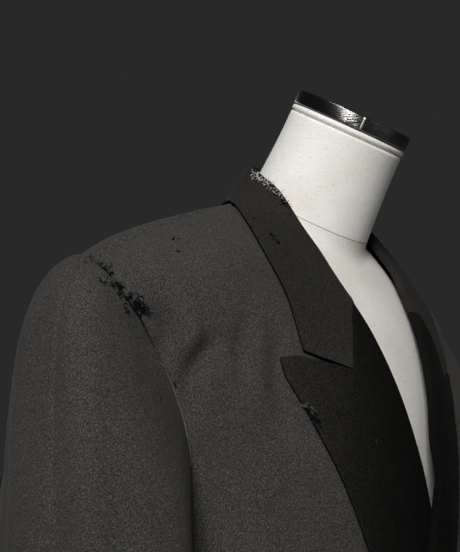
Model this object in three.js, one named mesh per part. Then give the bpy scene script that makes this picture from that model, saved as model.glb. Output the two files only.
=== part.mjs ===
// Double-breasted blazer with peak lapels on a limbless dress form.
// Millimetres, +Z up. The blazer faces -Y, the wearer's left is +X.
// The origin is the centre of the underside of the stand's base plate.
// Heights in the tables are measured from the middle of the neck base, which is NECK_BASE_Z above the floor.
import * as THREE from "three";

// ---------------------------------------------------------------- driving sizes
const NECK_BASE_Z = 830; // floor to the middle of the neck base
const CLOTH = 2; // wall thickness of the cloth
const SEAM_GAP = 0.4; // space between two cloth pieces at a seam
const HEM = -752; // hem of the body
const FRONT_EDGE_X = 62; // how far each front reaches past the centre line
const BREAK_Z = -470; // where the lapels begin to turn out
const ARM_LEVEL = -262; // level of the bottom of the armhole
const LAPEL_LIFT = 3.5; // outer face of a lapel above the front it lies on
const OVER_LAPEL_MORE = 0.5; // the left lapel stands this much higher, on the front that laps over
const LEAF_LIFT = 3.6; // outer face of the collar leaf above the panels
const OVER_LIFT = 3.4; // how far the left front stands out where it covers the right front
const OVER_LAPEL_LIFT = 9; // the same where it also covers the right lapel
const LEFT_ROLL_OUT = 6; // how much further out the left roll line lies
const NECK_TILT = 28.5; // forward lean of the form's neck, degrees
const NECK_LENGTH = 93; // neck base to the cap, along the neck
const NECK_RADIUS = 53.6;
const CAP_HEIGHT = 12;
const BUTTON = { diameter: 20, thickness: 3.4, x: 48 };
const STAND = { baseRadius: 170, baseHeight: 12, postRadius: 16, formBottom: -716 };

// ---------------------------------------------------------------- body tables
// z, half width, front depth, back depth, squareness of the front half, squareness of the back half
const JACKET = {
  rings: [
    [-760, 214, 138, 138, 2.3, 2.3],
    [-600, 206, 134, 136, 2.3, 2.3],
    [-450, 196, 130, 122, 2.1, 2.3],
    [-300, 200, 135, 126, 1.9, 2.3],
    [-200, 208, 128.5, 124, 1.73, 2.3],
    [-110, 246, 104, 118, 1.59, 2.4],
    [-50, 292, 71, 112, 1.6, 2.4],
    [40, 300, 39, 100, 1.88, 2.4],
  ],
  neckX: 70, neckZ: 9.3, tipX: 247, tipZ: -53.4, ridgeY0: 6, ridgeY1: 16, ridgeRound: 110,
};
const FORM = {
  rings: [
    [-760, 150, 100, 108, 2.2, 2.2],
    [-600, 166, 108, 120, 2.2, 2.2],
    [-450, 142, 96, 96, 2.2, 2.2],
    [-300, 160, 117, 104, 2.0, 2.2],
    [-200, 174, 117, 104, 1.85, 2.2],
    [-110, 198, 96, 100, 1.75, 2.2],
    [-50, 214, 65, 96, 1.75, 2.2],
    [40, 218, 35, 88, 1.9, 2.2],
  ],
  neckX: 70, neckZ: 3.6, tipX: 205, tipZ: -50.4, ridgeY0: 6, ridgeY1: 14, ridgeRound: 104,
};
const SHOULDER_BLEND = 56; // radius of the blend from shoulder to chest and back
const AXIS_Y = 10; // the vertical axis of the body runs here
const NAPE_Y = 70.5; // back of the neckline
const CHEST_Z = -150; // above this level the surface is read along rays from one centre
const RAY_REACH = 150;

// z, distance of the roll line from the centre line towards its own side
const ROLL = [
  [BREAK_Z, -FRONT_EDGE_X],
  [-300, -16],
  [-240, 0],
  [-200, 10.5],
  [-170, 18.5],
  [-140, 27.5],
  [-110, 37],
  [-80, 47],
  [-50, 55.5],
  [-22, 62],
  [-6, 67],
];
// z, distance of the lapel's outer edge from the centre line
const LAPEL_EDGE = [
  [-471, -60.5],
  [-450, -45],
  [-420, -25],
  [-370, 9],
  [-320, 42.5],
  [-273, 72.5],
  [-248, 83],
  [-221, 95],
  [-195, 108.5],
  [-170, 121],
  [-156, 127.5],
  [-145, 132],
  [-133, 133],
];
// the lapel's end, up to the roll line along its seam with the collar, then out to the peak: share of the way out, x, z
const LAPEL_TOP = [
  [0, 47, -82.6],
  [1 / 6, 59.2, -100.6],
  [1 / 3, 73.6, -139.4],
  [1 / 2, 89, -136.1],
  [2 / 3, 104.5, -133.2],
  [5 / 6, 119.5, -130.9],
  [1, 133, -133],
];
// the collar's end, down from the roll line along that seam, then out along the gorge: share of the way out, x, z
const COLLAR_END = [
  [0, 47, -81.2],
  [0.2, 59.9, -100.1],
  [0.4, 74.4, -138.2],
  [0.6, 88, -134.6],
  [0.8, 101, -130.9],
  [1, 114, -126.7],
];
// the armhole, from the top of the shoulder down its front and up its back: x, y, z
const ARMHOLE = [
  [245, 26, -68],
  [245, 0, -78],
  [235, -17, -104],
  [221, -24, -130],
  [208, -31, -157],
  [199, -37, -186],
  [194, -39, -216],
  [191, -29, -243],
  [191, -6, -258],
  [192, 16, -262],
  [192, 40, -254],
  [197, 60, -228],
  [205, 72, -190],
  [218, 74, -150],
  [234, 62, -110],
  [241, 46, -88],
];
// collar, from the centre of the back to its front end: fold x, y, z, leaf edge x, y, z, foot of the stand x, y, z
const COLLAR = [
  [0, 50, 53, 0, 75, 2, 0, 67.5, 10],
  [28, 45, 51, 40, 68, 2, 37, 59, 10],
  [50, 26, 42, 72, 43, 1, 58, 33, 10],
  [61, 4, 28, 99, 10, -1, 66, 6, 8],
  [65, -18, 11, 114, -16, -14, 66, -20, 0],
];
// the front part of the collar, where it turns at the roll line: z on the roll line, leaf edge x, z
const COLLAR_FRONT = [
  [-22, 119, -38],
  [-42, 118.5, -66],
  [-59, 117, -89],
  [-72, 115.5, -109],
  [-81.2, 114, -126.7],
];
// sleeve sections below the armhole: z, centre x, centre y, half width across, half depth front to back
const SLEEVE = [
  [-310, 251, -6, 46, 88],
  [-420, 252, -11, 44, 81],
  [-550, 255, -20, 40, 70],
  [-690, 259, -46, 33, 62],
];
// how the sleeve leaves the armhole: share of the way round, run in x, y, z
const SLEEVE_START = [
  [0, 128, 0, 22],
  [0.125, 104, -22, 4],
  [0.25, 50, -34, -22],
  [0.375, 18, -26, -44],
  [0.5, 12, 0, -28],
  [0.625, 18, 40, -44],
  [0.75, 58, 44, -18],
  [0.875, 104, 26, 4],
  [1, 128, 0, 22],
];
const SIDE_SEAM_FRONT = 7; // rows of ARMHOLE at which the side seams end
const SIDE_SEAM_BACK = 10;
const SIDE_SEAM_FRONT_HEM = 70; // degrees round the body from the centre front at the hem
const SIDE_SEAM_BACK_HEM = 113;

// ---------------------------------------------------------------- small maths
const rad = THREE.MathUtils.degToRad;
const lerp = (a, b, t) => a + (b - a) * t;
const clamp01 = (t) => Math.min(1, Math.max(0, t));
const smooth = (t) => { t = clamp01(t); return t * t * (3 - 2 * t); };
const V = (x, y, z) => new THREE.Vector3(x, y, z);

// Value of one column of a table at x, by a smooth curve through the rows.
function read(rows, x, col, key = 0) {
  const n = rows.length, flip = rows[0][key] > rows[n - 1][key];
  const r = flip ? [...rows].reverse() : rows;
  if (x <= r[0][key]) return r[0][col];
  if (x >= r[n - 1][key]) return r[n - 1][col];
  let i = 0;
  while (x > r[i + 1][key]) i++;
  const slope = (a) => (r[a + 1][col] - r[a][col]) / (r[a + 1][key] - r[a][key]);
  const tangent = (a) => {
    if (a === 0) return slope(0);
    if (a === n - 1) return slope(n - 2);
    const h0 = r[a][key] - r[a - 1][key], h1 = r[a + 1][key] - r[a][key];
    return (slope(a - 1) * h1 + slope(a) * h0) / (h0 + h1);
  };
  const h = r[i + 1][key] - r[i][key], t = (x - r[i][key]) / h, t2 = t * t, t3 = t2 * t;
  return (2 * t3 - 3 * t2 + 1) * r[i][col] + (t3 - 2 * t2 + t) * h * tangent(i) +
    (-2 * t3 + 3 * t2) * r[i + 1][col] + (t3 - t2) * h * tangent(i + 1);
}

// ---------------------------------------------------------------- body surface
// A ring of squared-off ellipses, cut by a sloping shoulder, with a round blend between the two.
function shoulderHeight(S, x, y) {
  const fall = (S.tipZ - S.neckZ) / (S.tipX - S.neckX);
  const ridge = S.ridgeY0 + ((S.ridgeY1 - S.ridgeY0) * Math.abs(x)) / S.tipX;
  return S.neckZ + fall * (Math.sqrt(x * x + 900) - S.neckX) - (y - ridge) ** 2 / (2 * S.ridgeRound);
}
function depthOutside(S, x, y, z) {
  const w = read(S.rings, z, 1), front = y < AXIS_Y;
  const d = read(S.rings, z, front ? 2 : 3), n = read(S.rings, z, front ? 4 : 5);
  const rho = ((Math.abs(x) / w) ** n + (Math.abs(y - AXIS_Y) / d) ** n + 1e-12) ** (1 / n);
  const a = (rho - 1) * d, b = (z - shoulderHeight(S, x, y)) * 0.9, k = SHOULDER_BLEND;
  const h = Math.max(k - Math.abs(a - b), 0) / k;
  return Math.max(a, b) + h * h * k * 0.25;
}
function bisect(f, inside, outside) {
  for (let i = 0; i < 34; i++) {
    const m = (inside + outside) / 2;
    if (f(m) < 0) inside = m; else outside = m;
  }
  return (inside + outside) / 2;
}
// Point of the surface in direction th round the body and at station s up it.
function onSurface(S, th, s) {
  const up = Math.max(s - CHEST_Z, 0) / RAY_REACH, z0 = Math.min(s, CHEST_Z);
  const dx = Math.sin(th) * Math.cos(up), dy = -Math.cos(th) * Math.cos(up), dz = Math.sin(up);
  const r = bisect((m) => depthOutside(S, m * dx, AXIS_Y + m * dy, z0 + m * dz), 10, 420);
  return V(r * dx, AXIS_Y + r * dy, z0 + r * dz);
}
function normalAt(S, p) {
  const e = 0.5, g = (x, y, z) => depthOutside(S, x, y, z);
  return V(g(p.x + e, p.y, p.z) - g(p.x - e, p.y, p.z), g(p.x, p.y + e, p.z) - g(p.x, p.y - e, p.z),
    g(p.x, p.y, p.z + e) - g(p.x, p.y, p.z - e)).normalize();
}
function station(p) {
  const r = Math.hypot(p.x, p.y - AXIS_Y);
  return [Math.atan2(p.x, -(p.y - AXIS_Y)), p.z <= CHEST_Z ? p.z : CHEST_Z + RAY_REACH * Math.atan2(p.z - CHEST_Z, r)];
}
const frontPoint = (S, x, z) => V(x, bisect((y) => depthOutside(S, x, y, z), AXIS_Y, -300), z);
const topPoint = (S, x, y) => V(x, y, bisect((z) => depthOutside(S, x, y, z), -150, 120));

// ---------------------------------------------------------------- walls
// Closed wall between an outer and an inner grid of points.
function wall(outer, inner, closed = false) {
  const rows = outer.length, cols = outer[0].length, pos = [], idx = [];
  for (const g of [outer, inner]) for (const row of g) for (const p of row) pos.push(p.x, p.y, p.z);
  const at = (layer, i, j) => layer * rows * cols + i * cols + (j % cols);
  const quad = (a, b, c, d) => idx.push(a, b, c, a, c, d);
  const spans = closed ? cols : cols - 1;
  for (let i = 0; i < rows - 1; i++)
    for (let j = 0; j < spans; j++) {
      quad(at(0, i, j), at(0, i, j + 1), at(0, i + 1, j + 1), at(0, i + 1, j));
      quad(at(1, i, j), at(1, i + 1, j), at(1, i + 1, j + 1), at(1, i, j + 1));
    }
  for (let j = 0; j < spans; j++) {
    quad(at(0, 0, j), at(1, 0, j), at(1, 0, j + 1), at(0, 0, j + 1));
    quad(at(0, rows - 1, j), at(0, rows - 1, j + 1), at(1, rows - 1, j + 1), at(1, rows - 1, j));
  }
  if (!closed)
    for (let i = 0; i < rows - 1; i++) {
      quad(at(0, i, 0), at(0, i + 1, 0), at(1, i + 1, 0), at(1, i, 0));
      quad(at(0, i, cols - 1), at(1, i, cols - 1), at(1, i + 1, cols - 1), at(0, i + 1, cols - 1));
    }
  return facingOut(pos, idx);
}
function facingOut(pos, idx) {
  let volume = 0;
  const p = (i) => V(pos[3 * i], pos[3 * i + 1], pos[3 * i + 2]);
  for (let i = 0; i < idx.length; i += 3) volume += p(idx[i]).dot(p(idx[i + 1]).cross(p(idx[i + 2])));
  if (volume < 0) for (let i = 0; i < idx.length; i += 3) [idx[i + 1], idx[i + 2]] = [idx[i + 2], idx[i + 1]];
  const g = new THREE.BufferGeometry();
  g.setAttribute("position", new THREE.Float32BufferAttribute(pos, 3));
  g.setIndex(idx);
  g.computeVertexNormals();
  return g;
}
// Outward normals of a grid, from its own neighbours.
function gridNormals(grid, closed, outward) {
  const rows = grid.length, cols = grid[0].length;
  return grid.map((row, i) => row.map((p, j) => {
    const a = grid[Math.max(i - 1, 0)][j], b = grid[Math.min(i + 1, rows - 1)][j];
    const c = row[closed ? (j - 1 + cols) % cols : Math.max(j - 1, 0)], d = row[closed ? (j + 1) % cols : Math.min(j + 1, cols - 1)];
    return b.clone().sub(a).cross(d.clone().sub(c)).normalize().multiplyScalar(outward);
  }));
}
// A curve through [th, s] stations, read at a share of its knots.
function curve(points, knots) {
  const ks = knots ?? points.map((_, i) => i / (points.length - 1));
  return (t) => {
    let i = 0;
    while (i < ks.length - 2 && t > ks[i + 1]) i++;
    const w = (t - ks[i]) / (ks[i + 1] - ks[i]);
    return [lerp(points[i][0], points[i + 1][0], w), lerp(points[i][1], points[i + 1][1], w)];
  };
}
// Four-sided panel on the body surface: left, right, bottom and top edges in stations.
function panelPoint(E, u, v) {
  const l = E.left(v), r = E.right(v), b = E.bottom(u), t = E.top(u);
  const c = [E.left(0), E.right(0), E.left(1), E.right(1)];
  return [0, 1].map((k) => (1 - u) * l[k] + u * r[k] + (1 - v) * b[k] + v * t[k] -
    ((1 - u) * (1 - v) * c[0][k] + u * (1 - v) * c[1][k] + (1 - u) * v * c[2][k] + u * v * c[3][k]));
}
// The same blend made between the edges in space, for a panel that turns over the shoulder.
function spacePoint(E, u, v) {
  const on = (q) => onSurface(JACKET, ...q);
  const p = on(E.left(v)).multiplyScalar(1 - u).addScaledVector(on(E.right(v)), u)
    .addScaledVector(on(E.bottom(u)), 1 - v).addScaledVector(on(E.top(u)), v);
  [[E.left(0), (1 - u) * (1 - v)], [E.right(0), u * (1 - v)], [E.left(1), (1 - u) * v], [E.right(1), u * v]]
    .forEach(([q, w]) => p.addScaledVector(on(q), -w));
  return station(p);
}
function panel(E, us, vs, side, lift = () => 0, blend = panelPoint) {
  const outer = [], inner = [];
  for (const v of vs) {
    const a = onSurface(JACKET, ...blend(E, 0, v)), m = onSurface(JACKET, ...blend(E, 0.5, v)), b = onSurface(JACKET, ...blend(E, 1, v));
    const du = SEAM_GAP / 2 / (a.distanceTo(m) + m.distanceTo(b));
    const o = [], n = [];
    for (const u of us) {
      const p = onSurface(JACKET, ...blend(E, lerp(du, 1 - du, u), v)), N = normalAt(JACKET, p);
      p.addScaledVector(N, lift(p));
      const q = p.clone().addScaledVector(N, -CLOTH);
      for (const w of [p, q]) w.x *= side;
      o.push(p); n.push(q);
    }
    outer.push(o); inner.push(n);
  }
  return wall(outer, inner);
}
const steps = (n, a = 0, b = 1) => Array.from({ length: n + 1 }, (_, i) => lerp(a, b, i / n));

// ---------------------------------------------------------------- edges of the panels, for the left half
const armhole = new THREE.CatmullRomCurve3(ARMHOLE.map((p) => V(...p)), true, "catmullrom", 0.5);
const armStation = (row) => station(armhole.getPoint(((row / ARMHOLE.length) % 1 + 1) % 1));
const FRONT_SPLIT = 0.6; // share of a body panel's rows that lies below the armhole
const BACK_ROWS = ARMHOLE.length;

const frontEdgeStation = (x, z) => station(frontPoint(JACKET, x, z));
// The left roll line lies a little further out than the right one, where its lapel rests on the chest.
const rollX = (z, side) => read(ROLL, z, 1) + (side > 0 ? LEFT_ROLL_OUT * smooth((z + 236) / 60) * smooth((-18 - z) / 40) : 0);
const rollStation = (z, side = -1) => frontEdgeStation(rollX(z, side), z);
const seamLevelF = armStation(SIDE_SEAM_FRONT)[1], seamLevelB = armStation(SIDE_SEAM_BACK)[1];
const neckPoint = topPoint(JACKET, 71, 14), tipPoint = onSurface(JACKET, ...armStation(0));
const shoulderSeam = steps(8).map((t) => station(topPoint(JACKET, lerp(neckPoint.x, tipPoint.x, t), lerp(neckPoint.y, tipPoint.y, t))));
shoulderSeam[8] = armStation(0);
const nape = topPoint(JACKET, 0, NAPE_Y);

const frontEdges = (roll) => {
  const low = [HEM, -700, -640, -580, -520, BREAK_Z];
  const split = FRONT_SPLIT, pts = [], ks = [];
  // below the armhole level, rows are level; above it they fan up to the neck and the shoulder
  for (const z of [...low, ...steps(6, BREAK_Z, seamLevelF).slice(1)]) {
    pts.push(z <= BREAK_Z ? frontEdgeStation(-FRONT_EDGE_X, z) : roll(z));
    ks.push((split * (z - HEM)) / (seamLevelF - HEM));
  }
  for (const z of steps(10, seamLevelF, -6).slice(1)) {
    pts.push(roll(z));
    ks.push(lerp(split, 1, (z - seamLevelF) / (-6 - seamLevelF)));
  }
  const right = [], rk = [];
  for (const t of steps(8)) {
    right.push([lerp(rad(SIDE_SEAM_FRONT_HEM), armStation(SIDE_SEAM_FRONT)[0], t), lerp(HEM, seamLevelF, t)]);
    rk.push(split * t);
  }
  for (const t of steps(14).slice(1)) {
    right.push(armStation(lerp(SIDE_SEAM_FRONT, 0, t)));
    rk.push(lerp(split, 1, t));
  }
  const left = curve(pts, ks), rightC = curve(right, rk);
  return {
    left, right: rightC,
    bottom: curve([left(0), rightC(0)]),
    top: curve([left(1), ...shoulderSeam], [0, ...steps(8, 0.16, 1)]),
  };
};
const sideEdges = (() => {
  const left = curve(steps(8).map((t) => [lerp(rad(SIDE_SEAM_FRONT_HEM), armStation(SIDE_SEAM_FRONT)[0], t), lerp(HEM, seamLevelF, t)]));
  const right = curve(steps(8).map((t) => [lerp(rad(SIDE_SEAM_BACK_HEM), armStation(SIDE_SEAM_BACK)[0], t), lerp(HEM, seamLevelB, t)]));
  return {
    left, right, bottom: curve([left(0), right(0)]),
    top: curve(steps(8).map((t) => armStation(lerp(SIDE_SEAM_FRONT, SIDE_SEAM_BACK, t)))),
  };
})();
const backEdges = (() => {
  const left = [], lk = [], right = [], rk = [], split = FRONT_SPLIT, top = station(nape)[1];
  for (const t of steps(8)) {
    left.push([lerp(rad(SIDE_SEAM_BACK_HEM), armStation(SIDE_SEAM_BACK)[0], t), lerp(HEM, seamLevelB, t)]);
    lk.push(split * t);
    right.push([Math.PI, lerp(HEM, seamLevelB, t)]);
    rk.push(split * t);
  }
  for (const t of steps(12).slice(1)) {
    left.push(armStation(lerp(SIDE_SEAM_BACK, BACK_ROWS, t)));
    lk.push(lerp(split, 1, t));
    right.push([Math.PI, lerp(seamLevelB, top, t)]);
    rk.push(lerp(split, 1, t));
  }
  const l = curve(left, lk), r = curve(right, rk);
  const neckline = steps(5).map((t) => {
    const a = lerp(0, 90, t); // from the side of the neck round to the nape
    return station(topPoint(JACKET, 71 * Math.cos(rad(a)), lerp(14, NAPE_Y, Math.sin(rad(a)))));
  });
  neckline[5] = r(1);
  return {
    left: l, right: r, bottom: curve([l(0), r(0)]),
    top: curve([...[...shoulderSeam].reverse(), ...neckline.slice(1)], [...steps(8, 0, 0.7), ...steps(5, 0.7, 1).slice(1)]),
  };
})();

// ---------------------------------------------------------------- turned pieces: lapels and collar
// Width and lift of the soft fold that a turned piece makes round the roll edge: along the panel, out from it.
const FOLD = [
  [-3, -1.8],
  [-3.1, 0.4],
  [-2.1, 2.5],
  [-0.4, 4.1],
];
// One row of a turned piece: the roll point, then columns out to the edge station.
function turnedRow(roll, edge, cols, lift, under = () => 0) {
  const [t0, s0] = roll, [t1, s1] = edge;
  const p0 = onSurface(JACKET, t0, s0), n0 = normalAt(JACKET, p0);
  const p1 = onSurface(JACKET, lerp(t0, t1, 0.08), lerp(s0, s1, 0.08));
  const dir = p1.clone().sub(p0); dir.addScaledVector(n0, -dir.dot(n0)).normalize();
  const row = FOLD.map(([d, h]) => p0.clone().addScaledVector(dir, d).addScaledVector(n0, h + under(p0)));
  const width = p0.distanceTo(onSurface(JACKET, t1, s1));
  for (const w of steps(cols)) {
    const u = lerp(Math.min(3 / width, 0.3), 1, w);
    const p = onSurface(JACKET, lerp(t0, t1, u), lerp(s0, s1, u));
    // the roll stands a little prouder than the edge
    const h = lift + 0.9 * Math.exp(-(u * width) / 18) + under(p);
    row.push(p.addScaledVector(normalAt(JACKET, p), h));
  }
  return row;
}
function turned(rows, side, outwardSign) {
  const normals = gridNormals(rows, false, outwardSign);
  const inner = rows.map((row, i) => row.map((p, j) => p.clone().addScaledVector(normals[i][j], -CLOTH)));
  for (const g of [rows, inner]) for (const row of g) for (const p of row) p.x *= side;
  return wall(rows, inner);
}
// The rows near the end bend, more and more, until the last one follows a table of its columns.
function bend(rows, count, table) {
  const last = rows.length - 1, cols = rows[0].length, start = FOLD.length;
  for (let j = start + 1; j < cols; j++) {
    const w = (j - start) / (cols - 1 - start), end = rows[last][j];
    const dx = read(table, w, 1) - end.x, dz = read(table, w, 2) - end.z;
    for (let i = last - count + 1; i <= last; i++) {
      const share = smooth((i - (last - count)) / count), p = rows[i][j];
      const q = onSurface(JACKET, ...frontEdgeStation(p.x + dx * share, p.z + dz * share));
      rows[i][j] = q.addScaledVector(normalAt(JACKET, q), depthOutside(JACKET, p.x, p.y, p.z));
    }
  }
  return rows;
}
function lapel(side, under) {
  const rows = [], n = 15;
  for (let i = 0; i <= n; i++) {
    const v = i / n, z = lerp(BREAK_Z + 6, LAPEL_TOP[0][2], v), edgeZ = lerp(BREAK_Z + 5, -133, v);
    // the outer edge runs along its own table, at the same share of its height
    rows.push(turnedRow(rollStation(z, side), frontEdgeStation(read(LAPEL_EDGE, edgeZ, 1), edgeZ), 6, LAPEL_LIFT + (side > 0 ? OVER_LAPEL_MORE : 0), under));
  }
  return turned(bend(rows, 7, LAPEL_TOP), side, -1);
}
function collarRows(side) {
  const half = [];
  const cols = 5;
  const leaf = (F, Eg) => {
    const pts = [];
    for (const w of steps(cols)) {
      const p = F.clone().lerp(Eg, w);
      const bulge = V(F.x * 0.4, F.y - 0, 0).normalize();
      p.addScaledVector(bulge, 2.6 * Math.sin(Math.PI * w));
      for (let k = 0; k < 4; k++) {
        const g = depthOutside(JACKET, p.x, p.y, p.z);
        const need = LEAF_LIFT;
        if (g < need || w > 0.98) p.addScaledVector(normalAt(JACKET, p), need - g);
      }
      pts.push(p);
    }
    return pts;
  };
  for (const [fx, fy, fz, ex, ey, ez, bx, by, bz] of COLLAR) {
    const F = V(fx, fy, fz), Eg = V(ex, ey, ez), B = V(bx, by, bz);
    const foot = topPoint(JACKET, bx, by);
    B.z = foot.z + 0.5;
    const inward = V(-fx, -(fy + 12), 0).normalize();
    // the neck side of the stand, then round the fold
    const row = [
      B.clone().addScaledVector(inward, 1.0),
      B.clone().lerp(F, 0.55).addScaledVector(inward, 1.4),
      F.clone().addScaledVector(inward, 2.6).add(V(0, 0, -2.6)),
      F.clone().addScaledVector(inward, 1.2).add(V(0, 0, 0.6)),
    ];
    const pts = leaf(F, Eg);
    pts[0].addScaledVector(inward, -1.8).add(V(0, 0, 0.2));
    half.push([...row, ...pts]);
  }
  for (const [z, ex, ez] of COLLAR_FRONT)
    half.push(turnedRow(rollStation(z, side), frontEdgeStation(ex, ez), cols, LEAF_LIFT));
  return bend(half, 4, COLLAR_END);
}
// Extra rows between the stations, by a smooth curve through them.
function denser(half) {
  const dense = [];
  half.forEach((b, i) => {
    dense.push(b);
    if (i === half.length - 1) return;
    const c = half[i + 1], a = i === 0 ? c.map((p) => V(-p.x, p.y, p.z)) : half[i - 1], d = i === half.length - 2 ? c : half[i + 2];
    dense.push(b.map((p, j) => p.clone().add(c[j]).multiplyScalar(0.5625).addScaledVector(a[j].clone().add(d[j]), -0.0625)));
  });
  return dense;
}
function collar() {
  const right = denser(collarRows(-1)), left = denser(collarRows(1));
  const rows = [...right.slice(1).reverse().map((row) => row.map((p) => V(-p.x, p.y, p.z))), ...left];
  const normals = gridNormals(rows, false, 1);
  const inner = rows.map((row, i) => row.map((p, j) => p.clone().addScaledVector(normals[i][j], -CLOTH)));
  return wall(rows, inner);
}

// ---------------------------------------------------------------- sleeves
const ROUND = 24; // columns round a sleeve
function sleeveGrid() {
  const rings = [];
  const outAt = (tau) => {
    const a = armhole.getPointAt(tau), b = armhole.getPointAt((tau + 0.01) % 1);
    const p = onSurface(JACKET, ...station(a)), q = onSurface(JACKET, ...station(b));
    const n = normalAt(JACKET, p), along = q.clone().sub(p).normalize();
    const out = along.clone().cross(n).normalize();
    if (out.x < 0 && Math.abs(out.x) > 0.2) out.negate();
    return { p, n, out };
  };
  const cap = 8;
  for (let k = 0; k <= cap; k++) {
    const t = k / cap, ring = [];
    for (let j = 0; j < ROUND; j++) {
      const tau = j / ROUND, { p, n, out } = outAt(tau);
      const [z, cx, cy, a, b] = SLEEVE[0];
      const E = V(cx + a * Math.cos(2 * Math.PI * tau), cy - b * Math.sin(2 * Math.PI * tau), z);
      const T0 = V(read(SLEEVE_START, tau, 1), read(SLEEVE_START, tau, 2), read(SLEEVE_START, tau, 3)).multiplyScalar(1.3);
      const below = smooth((0.36 - Math.abs(tau - 0.5)) / 0.2); // under the arm the sleeve lies outside the panels
      const A = p.clone().addScaledVector(out, SEAM_GAP + 0.5).addScaledVector(n, 1.6 * below);
      const T1 = V(0, 0, -0.95 * Math.abs(A.z - E.z) - 10);
      const t2 = t * t, t3 = t2 * t;
      ring.push(A.multiplyScalar(2 * t3 - 3 * t2 + 1).addScaledVector(T0, t3 - 2 * t2 + t)
        .addScaledVector(E, -2 * t3 + 3 * t2).addScaledVector(T1, t3 - t2));
    }
    rings.push(ring);
  }
  const down = 6;
  for (let k = 1; k <= down; k++) {
    const z = lerp(SLEEVE[0][0], SLEEVE[SLEEVE.length - 1][0], k / down);
    const c = [1, 2, 3, 4].map((col) => read(SLEEVE, z, col));
    rings.push(Array.from({ length: ROUND }, (_, j) => {
      const a = (2 * Math.PI * j) / ROUND;
      return V(c[0] + c[2] * Math.cos(a), c[1] - c[3] * Math.sin(a), z);
    }));
  }
  return rings;
}
function sleevePieces(side) {
  const rings = sleeveGrid(), normals = gridNormals(rings, true, -1);
  const cols = { top: [], under: [] };
  // the two seams of the sleeve, as columns of the ring: front and back
  const front = 9, back = 16;
  const pick = (from, to) => {
    const list = [];
    for (let j = from; j <= to; j++) list.push(((j % ROUND) + ROUND) % ROUND);
    return list;
  };
  cols.top = pick(back - ROUND, front);
  cols.under = pick(front, back);
  const make = (list) => {
    const outer = [], inner = [];
    rings.forEach((ring, i) => {
      const o = [], n = [];
      list.forEach((j, m) => {
        const p = ring[j].clone(), N = normals[i][j];
        if (m === 0 || m === list.length - 1) {
          const next = ring[list[m === 0 ? 1 : m - 1]].clone().sub(p).normalize();
          p.addScaledVector(next, SEAM_GAP / 2 + 0.05);
        }
        o.push(p); n.push(p.clone().addScaledVector(N, -CLOTH));
      });
      for (const row of [o, n]) for (const p of row) p.x *= side;
      outer.push(o); inner.push(n);
    });
    return wall(outer, inner);
  };
  return { top: make(cols.top), under: make(cols.under) };
}

// ---------------------------------------------------------------- the form
const tilt = rad(NECK_TILT);
const neckDir = V(0, -Math.sin(tilt), Math.cos(tilt)), neckFront = V(0, -Math.cos(tilt), -Math.sin(tilt));
const neckAt = (l, r, a) => neckDir.clone().multiplyScalar(l).addScaledVector(V(1, 0, 0), r * Math.sin(a)).addScaledVector(neckFront, r * Math.cos(a));
// along the neck, radius
const NECK = [
  [-40, 61],
  [-8, 59],
  [20, 56.6],
  [50, 54.6],
  [78, 53.4],
  [NECK_LENGTH - 7, 53],
];
function formGeometry() {
  const N = 28, rings = [];
  const foot = Array.from({ length: N }, (_, j) => {
    const a = (2 * Math.PI * j) / N;
    const l = bisect((m) => depthOutside(FORM, ...neckAt(m, read(NECK, m, 1) + 0.8, a).toArray()), -70, 70);
    return { a, l, p: neckAt(l, read(NECK, l, 1) + 0.8, a) };
  });
  const levels = [0, 0.05, 0.14, 0.24, 0.34, 0.44, 0.54, 0.63, 0.71, 0.78, 0.84, 0.89, 0.94, 0.98, 1];
  for (const v of levels)
    rings.push(foot.map(({ p }) => {
      const [th, s] = station(p);
      return onSurface(FORM, th, lerp(STAND.formBottom, s, v));
    }));
  for (const [i, l] of [0.18, 0.4, 0.62, 0.82, 1].entries())
    rings.push(foot.map(({ a, l: l0 }) => {
      const m = lerp(l0, NECK_LENGTH - 7, l);
      return neckAt(m, read(NECK, m, 1) + (i === 0 ? 0.6 : 0), a);
    }));
  const pos = [], idx = [];
  for (const ring of rings) for (const p of ring) pos.push(p.x, p.y, p.z);
  const at = (i, j) => i * N + (j % N);
  for (let i = 0; i < rings.length - 1; i++)
    for (let j = 0; j < N; j++) idx.push(at(i, j), at(i, j + 1), at(i + 1, j + 1), at(i, j), at(i + 1, j + 1), at(i + 1, j));
  for (const [i, flip] of [[0, true], [rings.length - 1, false]]) {
    const c = rings[i].reduce((s, p) => s.add(p), V(0, 0, 0)).divideScalar(N), m = pos.length / 3;
    pos.push(c.x, c.y, c.z);
    for (let j = 0; j < N; j++) flip ? idx.push(m, at(i, j + 1), at(i, j)) : idx.push(m, at(i, j), at(i, j + 1));
  }
  return facingOut(pos, idx);
}
// A turned ring or disc on the neck's axis: rows of radius, distance along the neck.
function onNeck(profile, segments) {
  const g = new THREE.LatheGeometry(profile.map(([r, l]) => new THREE.Vector2(r, l)), segments);
  g.rotateX(Math.PI / 2 + tilt);
  return g;
}

// ---------------------------------------------------------------- assembly
const colours = { cloth: 0x2a2928, linen: 0xd9d4c8, steel: 0xb9b8b5, button: 0x15130f, stand: 0x1b1a19 };
const garment = new THREE.Group();
garment.position.z = NECK_BASE_Z;
const whole = new THREE.Group();
whole.add(garment);
function add(group, name, geometry, colour, roughness = 0.9, metalness = 0) {
  const m = new THREE.Mesh(geometry, new THREE.MeshStandardMaterial({ color: colour, roughness, metalness }));
  m.name = name;
  group.add(m);
  return m;
}

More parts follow.
